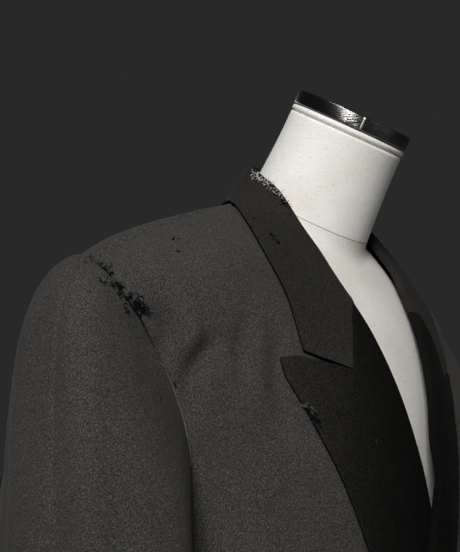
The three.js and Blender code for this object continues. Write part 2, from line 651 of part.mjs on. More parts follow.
// The left front stands out a little where it covers the right front and the right lapel.
const overLift = (p) => {
  const past = p.x + (p.z < BREAK_Z ? -FRONT_EDGE_X : read(ROLL, p.z, 1)); // distance past the right front's edge
  const high = lerp(OVER_LIFT, OVER_LAPEL_LIFT, smooth((p.z - BREAK_Z + 18) / 34)) * (1 - smooth((p.z + 232) / 70));
  return high * (1 - smooth((past - 9) / 40));
};
const rowLevels = [HEM, -690, -630, -570, -522, -490, -462, -425, -375, -325, -282];
const rowsFront = [...rowLevels.map((z) => (FRONT_SPLIT * (z - HEM)) / (seamLevelF - HEM)), ...steps(9, FRONT_SPLIT, 1)];
rowsFront[rowsFront.length - 1] = 1 - 0.004;
const rowsBack = [...steps(7, 0, FRONT_SPLIT), ...steps(9, FRONT_SPLIT, 1).slice(1, 9), 1 - 0.004];
const colsFront = [0, 0.05, 0.12, 0.2, 0.28, 0.36, 0.46, 0.58, 0.7, 0.82, 0.92, 1];
add(garment, "front_right", panel(frontEdges((z) => rollStation(z, -1)), colsFront, rowsFront, -1), colours.cloth);
add(garment, "front_left", panel(frontEdges((z) => rollStation(z, 1)), colsFront, rowsFront, 1, overLift), colours.cloth);
for (const [side, name] of [[-1, "right"], [1, "left"]]) {
  add(garment, "side_" + name, panel(sideEdges, steps(4), steps(8), side), colours.cloth);
  add(garment, "back_" + name, panel(backEdges, [0, 0.12, 0.25, 0.38, 0.5, 0.6, 0.7, 0.8, 0.9, 1], rowsBack, side, undefined, spacePoint), colours.cloth);
  const { top, under } = sleevePieces(side);
  add(garment, "sleeve_top_" + name, top, colours.cloth);
  add(garment, "sleeve_under_" + name, under, colours.cloth);
}
add(garment, "lapel_right", lapel(-1, () => 0), colours.cloth);
add(garment, "lapel_left", lapel(1, overLift), colours.cloth);
add(garment, "collar", collar(), colours.cloth);

// four buttons in two rows, under the lapels
const buttonProfile = [[0, 0], [9.4, 0], [10, 0.7], [10, 2.6], [9, 3.4], [6.8, 2.6], [0, 2.6]];
[[-1, -506], [1, -506], [-1, -612], [1, -612]].forEach(([s, z], i) => {
  const g = new THREE.LatheGeometry(buttonProfile.map(([r, l]) => new THREE.Vector2(r, l)), 16);
  const p = frontPoint(JACKET, s * BUTTON.x, z), n = normalAt(JACKET, p);
  const b = add(garment, "button_" + (i + 1), g, colours.button, 0.35);
  b.position.copy(p.addScaledVector(n, overLift(p) + 0.5));
  b.quaternion.setFromUnitVectors(V(0, 1, 0), n);
});

add(garment, "form_body", formGeometry(), colours.linen, 0.85);
add(garment, "neck_rim", onNeck([[46, NECK_LENGTH - 6.7], [52.4, NECK_LENGTH - 6.7], [54.6, NECK_LENGTH - 4.8], [54.6, NECK_LENGTH - 2.2], [52.4, NECK_LENGTH - 0.5], [46, NECK_LENGTH - 0.5], [46, NECK_LENGTH - 6.7]], 32), colours.linen, 0.85);
add(garment, "neck_cap", onNeck([[0, NECK_LENGTH], [NECK_RADIUS, NECK_LENGTH], [NECK_RADIUS + 0.6, NECK_LENGTH + 0.6], [NECK_RADIUS + 0.6, NECK_LENGTH + CAP_HEIGHT - 1], [NECK_RADIUS - 0.4, NECK_LENGTH + CAP_HEIGHT], [0, NECK_LENGTH + CAP_HEIGHT]], 48), colours.steel, 0.35, 1);

const plate = [[0, 0], [STAND.baseRadius - 1.5, 0], [STAND.baseRadius, 1.5], [STAND.baseRadius, STAND.baseHeight - 3], [STAND.baseRadius - 3, STAND.baseHeight], [0, STAND.baseHeight]];
const base = new THREE.LatheGeometry(plate.map(([r, z]) => new THREE.Vector2(r, z)), 48);
base.rotateX(Math.PI / 2);
add(whole, "base", base, colours.stand, 0.5);
const postTop = NECK_BASE_Z + STAND.formBottom - 0.4, postFoot = STAND.baseHeight + 0.3;
const post = new THREE.LatheGeometry([[0, postFoot], [STAND.postRadius + 8, postFoot], [STAND.postRadius + 8, postFoot + 8], [STAND.postRadius, postFoot + 14], [STAND.postRadius, postTop], [0, postTop]].map(([r, z]) => new THREE.Vector2(r, z)), 32);
post.rotateX(Math.PI / 2);
add(whole, "post", post, colours.steel, 0.4, 0.8);

export default whole;
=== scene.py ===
"""Looks of the double-breasted blazer on its dress form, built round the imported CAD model.
Lengths in the tables are millimetres, measured from the middle of the neck base, which is NECK_Z above the floor."""

import math

import bpy
import numpy as np
from mathutils import Matrix, Vector


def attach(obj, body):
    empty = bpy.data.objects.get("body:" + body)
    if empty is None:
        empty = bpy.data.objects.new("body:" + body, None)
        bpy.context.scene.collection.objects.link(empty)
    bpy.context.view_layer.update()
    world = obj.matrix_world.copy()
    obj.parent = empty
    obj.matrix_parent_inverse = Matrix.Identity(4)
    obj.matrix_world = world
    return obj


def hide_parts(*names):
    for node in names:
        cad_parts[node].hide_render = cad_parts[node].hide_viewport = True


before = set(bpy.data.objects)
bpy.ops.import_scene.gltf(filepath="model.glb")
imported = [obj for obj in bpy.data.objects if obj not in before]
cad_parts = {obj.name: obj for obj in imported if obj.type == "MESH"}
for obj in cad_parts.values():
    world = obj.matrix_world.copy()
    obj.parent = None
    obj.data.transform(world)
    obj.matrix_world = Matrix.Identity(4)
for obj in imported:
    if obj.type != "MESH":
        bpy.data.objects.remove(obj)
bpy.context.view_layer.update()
rng = np.random.default_rng(7)

# ------------------------------------------------------------------ sizes shared with the CAD part
NECK_Z = 830.0
CLOTH = 2.0
HEM = -752.0
FRONT_EDGE_X = 62.0
BREAK_Z = -470.0
LAPEL_LIFT = 3.5
LEAF_LIFT = 3.6
OVER_LIFT = 3.4
OVER_LAPEL_LIFT = 9.0
LEFT_ROLL_OUT = 18.0
LEFT_EDGE_OUT = 8.0
NECK_TILT = math.radians(28.5)
NECK_LENGTH = 93.0
CAP_HEIGHT = 12.0
FORM_BOTTOM = -716.0
NAPE_Y = 70.5
AXIS_Y = 10.0
CHEST_Z = -150.0
RAY_REACH = 150.0
SHOULDER_BLEND = 56.0

# z, half width, front depth, back depth, squareness of the front half, squareness of the back half
JACKET = dict(rings=[
    (-760, 214, 138, 138, 2.3, 2.3),
    (-600, 206, 134, 136, 2.3, 2.3),
    (-450, 196, 130, 122, 2.1, 2.3),
    (-300, 200, 135, 126, 1.9, 2.3),
    (-200, 208, 128.5, 124, 1.73, 2.3),
    (-110, 246, 104, 118, 1.59, 2.4),
    (-50, 292, 71, 112, 1.6, 2.4),
    (40, 300, 39, 100, 1.88, 2.4),
], neck_x=70.0, neck_z=9.3, tip_x=247.0, tip_z=-53.4, ridge_y0=6.0, ridge_y1=16.0, round_y=110.0)
FORM = dict(rings=[
    (-760, 150, 100, 108, 2.2, 2.2),
    (-600, 166, 108, 120, 2.2, 2.2),
    (-450, 142, 96, 96, 2.2, 2.2),
    (-300, 160, 117, 104, 2.0, 2.2),
    (-200, 174, 117, 104, 1.85, 2.2),
    (-110, 198, 96, 100, 1.75, 2.2),
    (-50, 214, 65, 96, 1.75, 2.2),
    (40, 218, 35, 88, 1.9, 2.2),
], neck_x=70.0, neck_z=3.6, tip_x=205.0, tip_z=-50.4, ridge_y0=6.0, ridge_y1=14.0, round_y=104.0)
# z, distance of the roll line from the centre line
ROLL = [(-470, -62), (-300, -16), (-240, 0), (-200, 10.5), (-170, 18.5), (-140, 27.5), (-110, 37), (-80, 47), (-50, 55.5), (-22, 62), (-6, 67)]
# z, distance of the lapel's outer edge from the centre line
LAPEL_EDGE = [(-471, -60.5), (-450, -45), (-420, -25), (-370, 9), (-320, 42), (-273, 71.5), (-248, 81.5), (-221, 93), (-195, 106), (-170, 118.5), (-156, 126), (-145, 131), (-133, 133)]
# share of the way out, x, z: the lapel's end, up to the roll line along its seam with the collar, then out to the peak
LAPEL_TOP = [(0, 47, -82.6), (1 / 6, 59.4, -100.4), (1 / 3, 74.2, -139.0), (1 / 2, 89, -136.1), (2 / 3, 104.5, -133.2), (5 / 6, 119.4, -130.9), (1, 132.8, -132.8)]
# the collar's end, down from the roll line along that seam, then out along the gorge
COLLAR_END = [(0, 47, -82.1), (0.2, 59.7, -100.2), (0.4, 74.5, -138.6), (0.6, 88, -134.6), (0.8, 101, -130.9), (1, 114, -126.7)]
# x, y, z round the armhole, down its front and up its back
ARMHOLE = np.array([
    (245, 26, -68), (245, 0, -78), (235, -17, -104), (221, -24, -130), (208, -31, -157), (199, -37, -186),
    (194, -39, -216), (191, -29, -243), (191, -6, -258), (192, 16, -262), (192, 40, -254), (197, 60, -228),
    (205, 72, -190), (218, 74, -150), (234, 62, -110), (241, 46, -88)], float)
# fold x, y, z, leaf edge x, y, z, foot of the stand x, y
COLLAR = [
    (0, 50, 53, 0, 75, 2, 0, 67.5),
    (28, 45, 51, 40, 68, 2, 37, 59),
    (50, 26, 42, 72, 43, 1, 58, 33),
    (61, 4, 28, 99, 10, -1, 66, 6),
    (65, -18, 11, 114, -16, -14, 66, -20),
]
# z on the roll line, leaf edge x, z
COLLAR_FRONT = [(-22, 119, -38), (-42, 118.5, -66), (-59, 117, -89), (-72, 115.5, -109), (-82.1, 114, -126.7)]
# z, centre x, centre y, half width, half depth
SLEEVE = [(-310, 251, -6, 46, 88), (-420, 252, -11, 44, 81), (-550, 255, -20, 40, 70), (-690, 259, -46, 33, 62)]
# share of the way round, run in x, y, z
SLEEVE_START = [(0, 128, 0, 22), (.125, 104, -22, 4), (.25, 50, -34, -22), (.375, 18, -26, -44), (.5, 12, 0, -28), (.625, 18, 40, -44), (.75, 58, 44, -18), (.875, 104, 26, 4), (1, 128, 0, 22)]
SLEEVE_START = [(-.125, 104, 26, 4)] + SLEEVE_START + [(1.125, 104, -22, 4)]
# along the panel, out from it: the soft fold round the roll edge
FOLD = [(-3, -1.8), (-3.1, .4), (-2.1, 2.5), (-.4, 4.1)]
# along the neck, radius
NECK = [(-40, 61), (-8, 59), (20, 56.6), (50, 54.6), (78, 53.4), (86, 53)]
SIDE_SEAM_FRONT, SIDE_SEAM_BACK = 7, 10
SIDE_FRONT_HEM, SIDE_BACK_HEM = math.radians(70), math.radians(113)
FRONT_SPLIT = 0.6


# ------------------------------------------------------------------ small maths
def table(rows, x, col):
    """A column of a table at x, by a smooth curve through the rows."""
    r = np.array(sorted(rows), float)
    k, y = r[:, 0], r[:, col]
    h = np.diff(k)
    d = np.diff(y) / h
    m = np.empty(len(k))
    m[1:-1] = (d[:-1] * h[1:] + d[1:] * h[:-1]) / (h[:-1] + h[1:])
    m[0], m[-1] = d[0], d[-1]
    x = np.clip(x, k[0], k[-1])
    i = np.clip(np.searchsorted(k, x, side="right") - 1, 0, len(k) - 2)
    t = (x - k[i]) / h[i]
    return ((2 * t**3 - 3 * t**2 + 1) * y[i] + (t**3 - 2 * t**2 + t) * h[i] * m[i]
            + (-2 * t**3 + 3 * t**2) * y[i + 1] + (t**3 - t**2) * h[i] * m[i + 1])


def smooth(t):
    t = np.clip(t, 0, 1)
    return t * t * (3 - 2 * t)


def unit(v):
    return v / np.maximum(np.linalg.norm(v, axis=-1, keepdims=True), 1e-9)


def roof(S, x, y):
    fall = (S["tip_z"] - S["neck_z"]) / (S["tip_x"] - S["neck_x"])
    ridge = S["ridge_y0"] + (S["ridge_y1"] - S["ridge_y0"]) * np.abs(x) / S["tip_x"]
    return S["neck_z"] + fall * (np.sqrt(x * x + 900) - S["neck_x"]) - (y - ridge) ** 2 / (2 * S["round_y"])


def outside(S, x, y, z):
    w, f, b, nf, nb = (table(S["rings"], z, c) for c in (1, 2, 3, 4, 5))
    front = y < AXIS_Y
    d, n = np.where(front, f, b), np.where(front, nf, nb)
    rho = ((np.abs(x) / w) ** n + (np.abs(y - AXIS_Y) / d) ** n + 1e-12) ** (1 / n)
    a, c = (rho - 1) * d, (z - roof(S, x, y)) * 0.9
    h = np.maximum(SHOULDER_BLEND - np.abs(a - c), 0) / SHOULDER_BLEND
    return np.maximum(a, c) + h * h * SHOULDER_BLEND * 0.25


def bisect(f, inside, out, shape):
    a, b = np.full(shape, float(inside)), np.full(shape, float(out))
    for _ in range(27):
        m = (a + b) / 2
        low = f(m) < 0
        a, b = np.where(low, m, a), np.where(low, b, m)
    return (a + b) / 2


def surf(S, th, s):
    th, s = np.broadcast_arrays(np.asarray(th, float), np.asarray(s, float))
    up = np.maximum(s - CHEST_Z, 0) / RAY_REACH
    z0 = np.minimum(s, CHEST_Z)
    dx, dy, dz = np.sin(th) * np.cos(up), -np.cos(th) * np.cos(up), np.sin(up)
    r = bisect(lambda m: outside(S, m * dx, AXIS_Y + m * dy, z0 + m * dz), 10, 420, th.shape)
    return np.stack([r * dx, AXIS_Y + r * dy, z0 + r * dz], -1)


def normal(S, P):
    e = 0.5
    g = []
    for i in range(3):
        q = [P[..., k] + (e if k == i else 0) for k in range(3)]
        p = [P[..., k] - (e if k == i else 0) for k in range(3)]
        g.append(outside(S, *q) - outside(S, *p))
    return unit(np.stack(g, -1))


def station(P):
    P = np.asarray(P, float)
    th = np.arctan2(P[..., 0], -(P[..., 1] - AXIS_Y))
    r = np.hypot(P[..., 0], P[..., 1] - AXIS_Y)
    return th, np.where(P[..., 2] <= CHEST_Z, P[..., 2], CHEST_Z + RAY_REACH * np.arctan2(P[..., 2] - CHEST_Z, r))


def front_point(S, x, z):
    x, z = np.broadcast_arrays(np.asarray(x, float), np.asarray(z, float))
    y = bisect(lambda m: outside(S, x, m, z), AXIS_Y, -300, x.shape)
    return np.stack([x, y, z], -1)


def back_point(S, x, z):
    x, z = np.broadcast_arrays(np.asarray(x, float), np.asarray(z, float))
    y = bisect(lambda m: outside(S, x, m, z), AXIS_Y, 300, x.shape)
    return np.stack([x, y, z], -1)


def top_point(S, x, y):
    x, y = np.broadcast_arrays(np.asarray(x, float), np.asarray(y, float))
    z = bisect(lambda m: outside(S, x, y, m), -150, 120, x.shape)
    return np.stack([x, y, z], -1)


def spline(P, k, axis=0, ends=None):
    """k steps in each span of a smooth curve through the points along an axis."""
    P = np.moveaxis(np.asarray(P, float), axis, 0)
    n = len(P)
    a = np.concatenate([2 * P[:1] - P[1:2], P, 2 * P[-1:] - P[-2:-1]]) if ends is None else np.concatenate([ends[0], P, ends[1]])
    out = []
    for i in range(n - 1):
        p0, p1, p2, p3 = a[i], a[i + 1], a[i + 2], a[i + 3]
        for j in range(k):
            t = j / k
            out.append(0.5 * (2 * p1 + (p2 - p0) * t + (2 * p0 - 5 * p1 + 4 * p2 - p3) * t * t + (3 * p1 - p0 - 3 * p2 + p3) * t**3))
    out.append(P[-1])
    return np.moveaxis(np.array(out), 0, axis)


def grid_normals(P, closed=False):
    """Normals of a rows by columns grid from its neighbours, by the order of rows and columns."""
    a = np.gradient(P, axis=0)
    if closed:
        b = np.roll(P, -1, axis=1) - np.roll(P, 1, axis=1)
    else:
        b = np.gradient(P, axis=1)
    return unit(np.cross(a, b))


def edge_distance(P):
    """Distance of each grid point from the left, right, bottom and top edges, along the grid."""
    du = np.linalg.norm(np.diff(P, axis=1), axis=-1)
    dv = np.linalg.norm(np.diff(P, axis=0), axis=-1)
    cu = np.concatenate([np.zeros((P.shape[0], 1)), np.cumsum(du, axis=1)], 1)
    cv = np.concatenate([np.zeros((1, P.shape[1])), np.cumsum(dv, axis=0)], 0)
    return cu, cu[:, -1:] - cu, cv, cv[-1:, :] - cv


def spread(n, a=0.0, b=1.0, low=3, high=3, fine=0.004):
    """Shares from a to b, with a few close ones at either end."""
    s = np.linspace(a, b, n)
    w = b - a
    near = [a + w * fine * k for k in range(1, low + 1)] + [b - w * fine * k for k in range(1, high + 1)]
    s = np.concatenate([s, near])
    return np.unique(np.round(s, 6))


# ------------------------------------------------------------------ folds in the cloth
# where (f front, b back), points as x, z ..., depth out (+) or in (-), half width. Right side as seen, left side its own.
BODY_FOLDS = [
    ("f", [(-212, -92), (-209, -112), (-205, -132), (-197, -150)], -2.6, 10),
    ("f", [(-176, -122), (-187, -139), (-191, -156), (-190, -176)], -3.4, 9),
    ("f", [(-196, -104), (-192, -122), (-198, -138)], 1.2, 8),
    ("f", [(-156, -108), (-159, -131), (-157, -152)], -2.2, 9),
    ("f", [(-143, -104), (-149, -140), (-151, -178)], 1.3, 9),
    ("f", [(-131, -108), (-135, -143), (-133, -170), (-132, -200)], -1.7, 9),
    ("f", [(-176, -190), (-172, -240), (-166, -300)], -1.4, 15),
    ("f", [(-150, -210), (-146, -262), (-138, -330)], 1.2, 17),
    ("f", [(-70, -500), (-110, -470), (-160, -440)], -2.2, 13),
    ("f", [(-84, -520), (-130, -505), (-176, -492)], 1.5, 12),
    ("f", [(-75, -600), (-100, -660), (-112, -740)], -1.8, 16),
    ("f", [(-150, -560), (-158, -640), (-156, -735)], 1.6, 18),
    ("f", [(208, -96), (205, -118), (199, -144)], -2.2, 10),
    ("f", [(172, -118), (184, -142), (188, -172)], -2.9, 10),
    ("f", [(150, -112), (154, -140), (150, -176)], -1.8, 9),
    ("f", [(128, -116), (133, -150), (131, -205)], 1.3, 11),
    ("f", [(168, -205), (166, -262), (158, -322)], -1.5, 15),
    ("f", [(72, -496), (118, -462), (166, -424)], -2.4, 13),
    ("f", [(92, -520), (140, -512), (182, -486)], 1.4, 12),
    ("f", [(20, -560), (34, -640), (30, -735)], -1.2, 17),
    ("f", [(86, -610), (112, -670), (118, -742)], -1.9, 15),
    ("f", [(150, -570), (160, -650), (158, -738)], 1.5, 18),
    ("b", [(-216, -118), (-196, -150), (-182, -196)], -2.8, 12),
    ("b", [(-196, -104), (-172, -138), (-160, -180)], 1.4, 12),
    ("b", [(-186, -232), (-168, -290), (-160, -356)], -2.2, 15),
    ("b", [(-120, -110), (-116, -170), (-122, -236)], -1.4, 16),
    ("b", [(-86, -392), (-120, -420), (-168, -432)], -2.4, 13),
    ("b", [(-60, -440), (-104, -458), (-158, -474)], 1.5, 13),
    ("b", [(-122, -540), (-132, -630), (-128, -738)], -2.0, 18),
    ("b", [(-56, -556), (-60, -640), (-52, -742)], 1.3, 18),
    ("b", [(212, -122), (194, -158), (180, -206)], -2.5, 12),
    ("b", [(190, -108), (170, -144), (156, -190)], 1.5, 12),
    ("b", [(184, -240), (170, -300), (158, -350)], -2.0, 15),
    ("b", [(104, -120), (110, -184), (104, -240)], -1.3, 17),
    ("b", [(70, -398), (116, -416), (170, -440)], -2.2, 13),
    ("b", [(48, -448), (100, -466), (150, -470)], 1.3, 13),
    ("b", [(116, -548), (130, -640), (130, -740)], -2.1, 17),
    ("b", [(52, -570), (58, -650), (60, -742)], 1.2, 18),
]
# side, then share round and row down ..., depth, half width; row 0 to 1 is the cap, 1 to 2 the arm down to the cuff
SLEEVE_FOLDS = [
    (-1, [(.90, .2), (.88, .6), (.868, 1.0), (.868, 1.5), (.88, 2.0)], -5.2, 31),
    (-1, [(.05, .1), (.07, .5), (.085, .9), (.10, 1.3), (.10, 1.8)], 3.2, 17),
    (-1, [(.02, .28), (.035, .55), (.05, .82), (.055, 1.02)], -1.5, 10),
    (-1, [(.075, .2), (.095, .55), (.11, .85), (.12, 1.2), (.125, 1.42)], 2.0, 10),
    (-1, [(.20, .45), (.22, .8), (.20, 1.05)], -0.9, 12),
    (-1, [(.31, 1.02), (.24, 1.16), (.17, 1.22)], -2.6, 10),
    (-1, [(.36, 1.14), (.27, 1.25), (.19, 1.36)], 2.0, 9),
    (-1, [(.37, 1.34), (.28, 1.42), (.20, 1.45)], -2.7, 9),
    (-1, [(.35, 1.47), (.27, 1.54), (.22, 1.62)], 1.7, 9),
    (-1, [(.66, 1.16), (.72, 1.25), (.80, 1.30)], -2.4, 11),
    (-1, [(.64, 1.38), (.71, 1.44), (.80, 1.46)], -2.4, 10),
    (-1, [(.62, 1.52), (.70, 1.58), (.78, 1.66)], 1.8, 10),
    (-1, [(.94, .35), (.93, .8), (.94, 1.2)], -1.3, 11),
    (-1, [(.84, .5), (.83, .9), (.85, 1.15)], 1.5, 12),
    (-1, [(.30, 1.72), (.20, 1.80), (.08, 1.83)], -1.4, 9),
    (1, [(.02, .3), (.03, .6), (.05, 1.0)], -1.7, 7),
    (1, [(.07, .25), (.09, .7), (.10, 1.2), (.11, 1.45)], 1.8, 8),
    (1, [(.33, 1.03), (.25, 1.15), (.16, 1.2)], -2.4, 10),
    (1, [(.36, 1.2), (.28, 1.28), (.2, 1.36)], 1.9, 9),
    (1, [(.38, 1.38), (.29, 1.44), (.19, 1.48)], -2.8, 9),
    (1, [(.64, 1.2), (.73, 1.27), (.82, 1.3)], -2.3, 11),
    (1, [(.63, 1.42), (.72, 1.47), (.81, 1.5)], -2.2, 10),
    (1, [(.95, .3), (.94, .75), (.95, 1.15)], -1.3, 11),
    (1, [(.84, .5), (.82, .9), (.84, 1.2)], 1.4, 12),
    (1, [(.28, 1.74), (.18, 1.8), (.06, 1.85)], -1.3, 9),
]


def fold_lines(rows, make):
    out = []
    for where, pts, depth, width in rows:
        P = make(where, np.array(pts, float))
        out.append((spline(P, 5), depth, width))
    return out


def fold_height(P, lines):
    """How far the cloth stands out at each point because of the folds."""
    flat = P.reshape(-1, 3)
    out = np.zeros(len(flat))
    for Q, depth, width in lines:
        near = np.all((flat > Q.min(0) - 3 * width) & (flat < Q.max(0) + 3 * width), axis=1)
        if not near.any():
            continue
        p = flat[near]
        seg = np.diff(Q, axis=0)
        length = np.linalg.norm(seg, axis=1)
        before = np.concatenate([[0], np.cumsum(length)])
        best = np.full(len(p), 1e9)
        for i in range(len(seg)):
            t = np.clip(((p - Q[i]) @ seg[i]) / (length[i] ** 2 + 1e-9), 0, 1)
            best = np.minimum(best, np.linalg.norm(p - Q[i] - t[:, None] * seg[i], axis=1))
        # how far along the fold, as a soft mean of its points, so that nothing jumps beside a bent fold
        d2 = ((p[:, None] - Q[None]) ** 2).sum(-1)
        pull = np.exp(-(d2 - d2.min(1, keepdims=True)) / (0.8 * width + 0.6 * length.mean()) ** 2)
        share = pull @ (before / before[-1]) / pull.sum(1)
        out[near] += depth * np.sin(np.pi * np.clip(share, 0, 1)) ** 0.7 * np.exp(-((best / width) ** 2))
    return out.reshape(P.shape[:-1])


def waves(P, size=1.0, seed=3):
    """Soft uneven waves, mostly upright, of half a millimetre or so."""
    r = np.random.default_rng(seed)
    h = np.zeros(P.shape[:-1])
    for _ in range(9):
        length = r.uniform(45, 150)
        k = np.array([r.normal(), r.normal(), r.normal() * 0.35])
        k = k / np.linalg.norm(k) * 2 * math.pi / length
        h += r.uniform(0.10, 0.26) * (length / 100) * np.sin(P @ k + r.uniform(0, 6.28))
    for _ in range(6):
        length = r.uniform(9, 24)
        k = r.normal(size=3)
        k = k / np.linalg.norm(k) * 2 * math.pi / length
        h += r.uniform(0.015, 0.04) * np.sin(P @ k + r.uniform(0, 6.28))
    return h * size


def ground(P):
    """The body cloth's own folds at a point, so that what lies on it follows them."""
    return 2.1 * fold_height(P, BODY_LINES) + waves(P)


BODY_LINES = fold_lines(BODY_FOLDS, lambda w, q: (front_point if w == "f" else back_point)(JACKET, q[:, 0], q[:, 1]))


# ------------------------------------------------------------------ meshes
def new_object(name, V, faces, mats, index=None, shade=True):
    """An object from points in millimetres from the neck base."""
    V = np.asarray(V, float) + [0, 0, NECK_Z]
    me = bpy.data.meshes.new(name)
    me.from_pydata((V / 1000.0).tolist(), [], faces if isinstance(faces, list) else faces.tolist())
    for m in mats:
        me.materials.append(m)
    if index is not None:
        me.polygons.foreach_set("material_index", np.asarray(index, np.int32))
    me.polygons.foreach_set("use_smooth", np.full(len(me.polygons), shade))
    me.update()
    ob = bpy.data.objects.new(name, me)
    bpy.context.scene.collection.objects.link(ob)
    return ob


def shell(name, outer, inner, mats, closed=False, pit=None, rim=0, under=0):
    """A closed wall between two grids. Cells marked in pit are worn through: they lose the outer face, and what lies
    below is dark, in the second material, which is painted shade for the inside of the hole.
    """
    rows, cols = outer.shape[:2]
    spans = cols if closed else cols - 1
    pit = np.zeros((rows - 1, spans), bool) if pit is None else pit
    n = rows * cols
    V = np.concatenate([outer.reshape(-1, 3), inner.reshape(-1, 3)])
    i, j = np.meshgrid(np.arange(rows - 1), np.arange(spans), indexing="ij")
    a, b = i * cols + j, i * cols + (j + 1) % cols
    c, d = (i + 1) * cols + (j + 1) % cols, (i + 1) * cols + j
    quads, index = [], []

    def add(q, m):
        quads.append(q)
        index.append(np.full(len(q), m))

    keep = ~pit
    add(np.stack([a, b, c, d], -1)[keep], 0)
    add(np.stack([a + n, d + n, c + n, b + n], -1)[keep], under)
    if pit.any():
        # worn-through cells show the black painted shade on the inner face and on a floor inside the wall
        add(np.stack([a + n, d + n, c + n, b + n], -1)[pit], 1)
        # the pit's own floor faces out, on the inner points
        near = np.stack([a + n, b + n, c + n, d + n], -1)[pit]
        lifted = len(V)
        V = np.concatenate([V, inner.reshape(-1, 3) + 0.35 * (outer - inner).reshape(-1, 3)])
        add(near - n + lifted, 1)
    # sides of the wall, where a kept cell has no kept neighbour
    pad = np.zeros((rows + 1, spans + 2), bool)
    pad[1:-1, 1:-1] = keep
    if closed:
        pad[1:-1, 0], pad[1:-1, -1] = keep[:, -1], keep[:, 0]
    for side, p, q in ((pad[:-2, 1:-1], a, b), (pad[2:, 1:-1], c, d), (pad[1:-1, :-2], d, a), (pad[1:-1, 2:], b, c)):
        e = keep & ~side
        add(np.stack([p + n, q + n, q, p], -1)[e], rim)
    Q = np.concatenate(quads)
    index = np.concatenate(index)
    # faces out
    p0, p1, p2, p3 = (V[Q[:, k]] for k in range(4))
    volume = (np.einsum("ij,ij->i", p0, np.cross(p1, p2)) + np.einsum("ij,ij->i", p0, np.cross(p2, p3))).sum()
    if volume < 0:
        Q = Q[:, ::-1]
    used = np.unique(Q)
    back = np.zeros(len(V), int)
    back[used] = np.arange(len(used))
    return new_object(name, V[used], back[Q], mats, index)


def lathe(name, profile, mats, segments=96, frame_of=lambda r, l, a: np.stack(np.broadcast_arrays(r * np.sin(a), -r * np.cos(a), l), -1), index=None):
    """A turned piece from (radius, height) points."""
    prof = np.array(profile, float)
    a = np.linspace(0, 2 * np.pi, segments, endpoint=False)
    P = frame_of(prof[:, 0][:, None], prof[:, 1][:, None], a[None, :])
    m = len(prof)
    faces = [[i * segments + j, i * segments + (j + 1) % segments, (i + 1) * segments + (j + 1) % segments, (i + 1) * segments + j] for i in range(m - 1) for j in range(segments)]
    return new_object(name, P.reshape(-1, 3), faces, mats, index)


def tubes(name, paths, mats, radius, sides=4, index=None):
    """Many thin threads as one mesh. paths is a list of (points, radius scale, material index)."""
    V, F, M, at = [], [], [], 0
    for pts, scale, m in paths:
        pts = np.asarray(pts, float)
        t = unit(np.gradient(pts, axis=0))
        ref = np.array([0.31, 0.77, 0.55])
        x = unit(np.cross(t, ref))
        y = np.cross(t, x)
        n = len(pts)
        taper = radius * scale * np.where((np.arange(n) == 0) | (np.arange(n) == n - 1), 0.35, 1.0)
        for k in range(sides):
            ang = 2 * math.pi * k / sides
            V.append(pts + taper[:, None] * (math.cos(ang) * x + math.sin(ang) * y))
        for k in range(sides):
            k2 = (k + 1) % sides
            for i in range(n - 1):
                F.append([at + k * n + i, at + k2 * n + i, at + k2 * n + i + 1, at + k * n + i + 1])
                M.append(m)
        F.append([at + k * n for k in range(sides)][::-1])
        F.append([at + k * n + n - 1 for k in range(sides)])
        M += [m, m]
        at += sides * n
    return new_object(name, np.concatenate(V), F, mats, M)


# ------------------------------------------------------------------ materials
def material(name):
    m = bpy.data.materials.new(name)
    m.use_nodes = True
    nt = m.node_tree
    return m, nt, nt.nodes["Principled BSDF"]


def node(nt, kind, inputs=None, **props):
    n = nt.nodes.new(kind)
    for k, v in props.items():
        setattr(n, k, v)
    for k, v in (inputs or {}).items():
        if isinstance(v, tuple) and len(v) == 2 and hasattr(v[0], "outputs"):
            nt.links.new(v[0].outputs[v[1]], n.inputs[k])
        else:
            n.inputs[k].default_value = v
    return n


def ramp(nt, source, stops):
    r = nt.nodes.new("ShaderNodeValToRGB")
    nt.links.new(source[0].outputs[source[1]], r.inputs["Fac"])
    e = r.color_ramp.elements
    while len(e) > 2:
        e.remove(e[-1])
    for k, (pos, col) in enumerate(stops):
        if k < 2:
            e[k].position = pos
            e[k].color = (*col, 1)
        else:
            x = e.new(pos)
            x.color = (*col, 1)
    return r


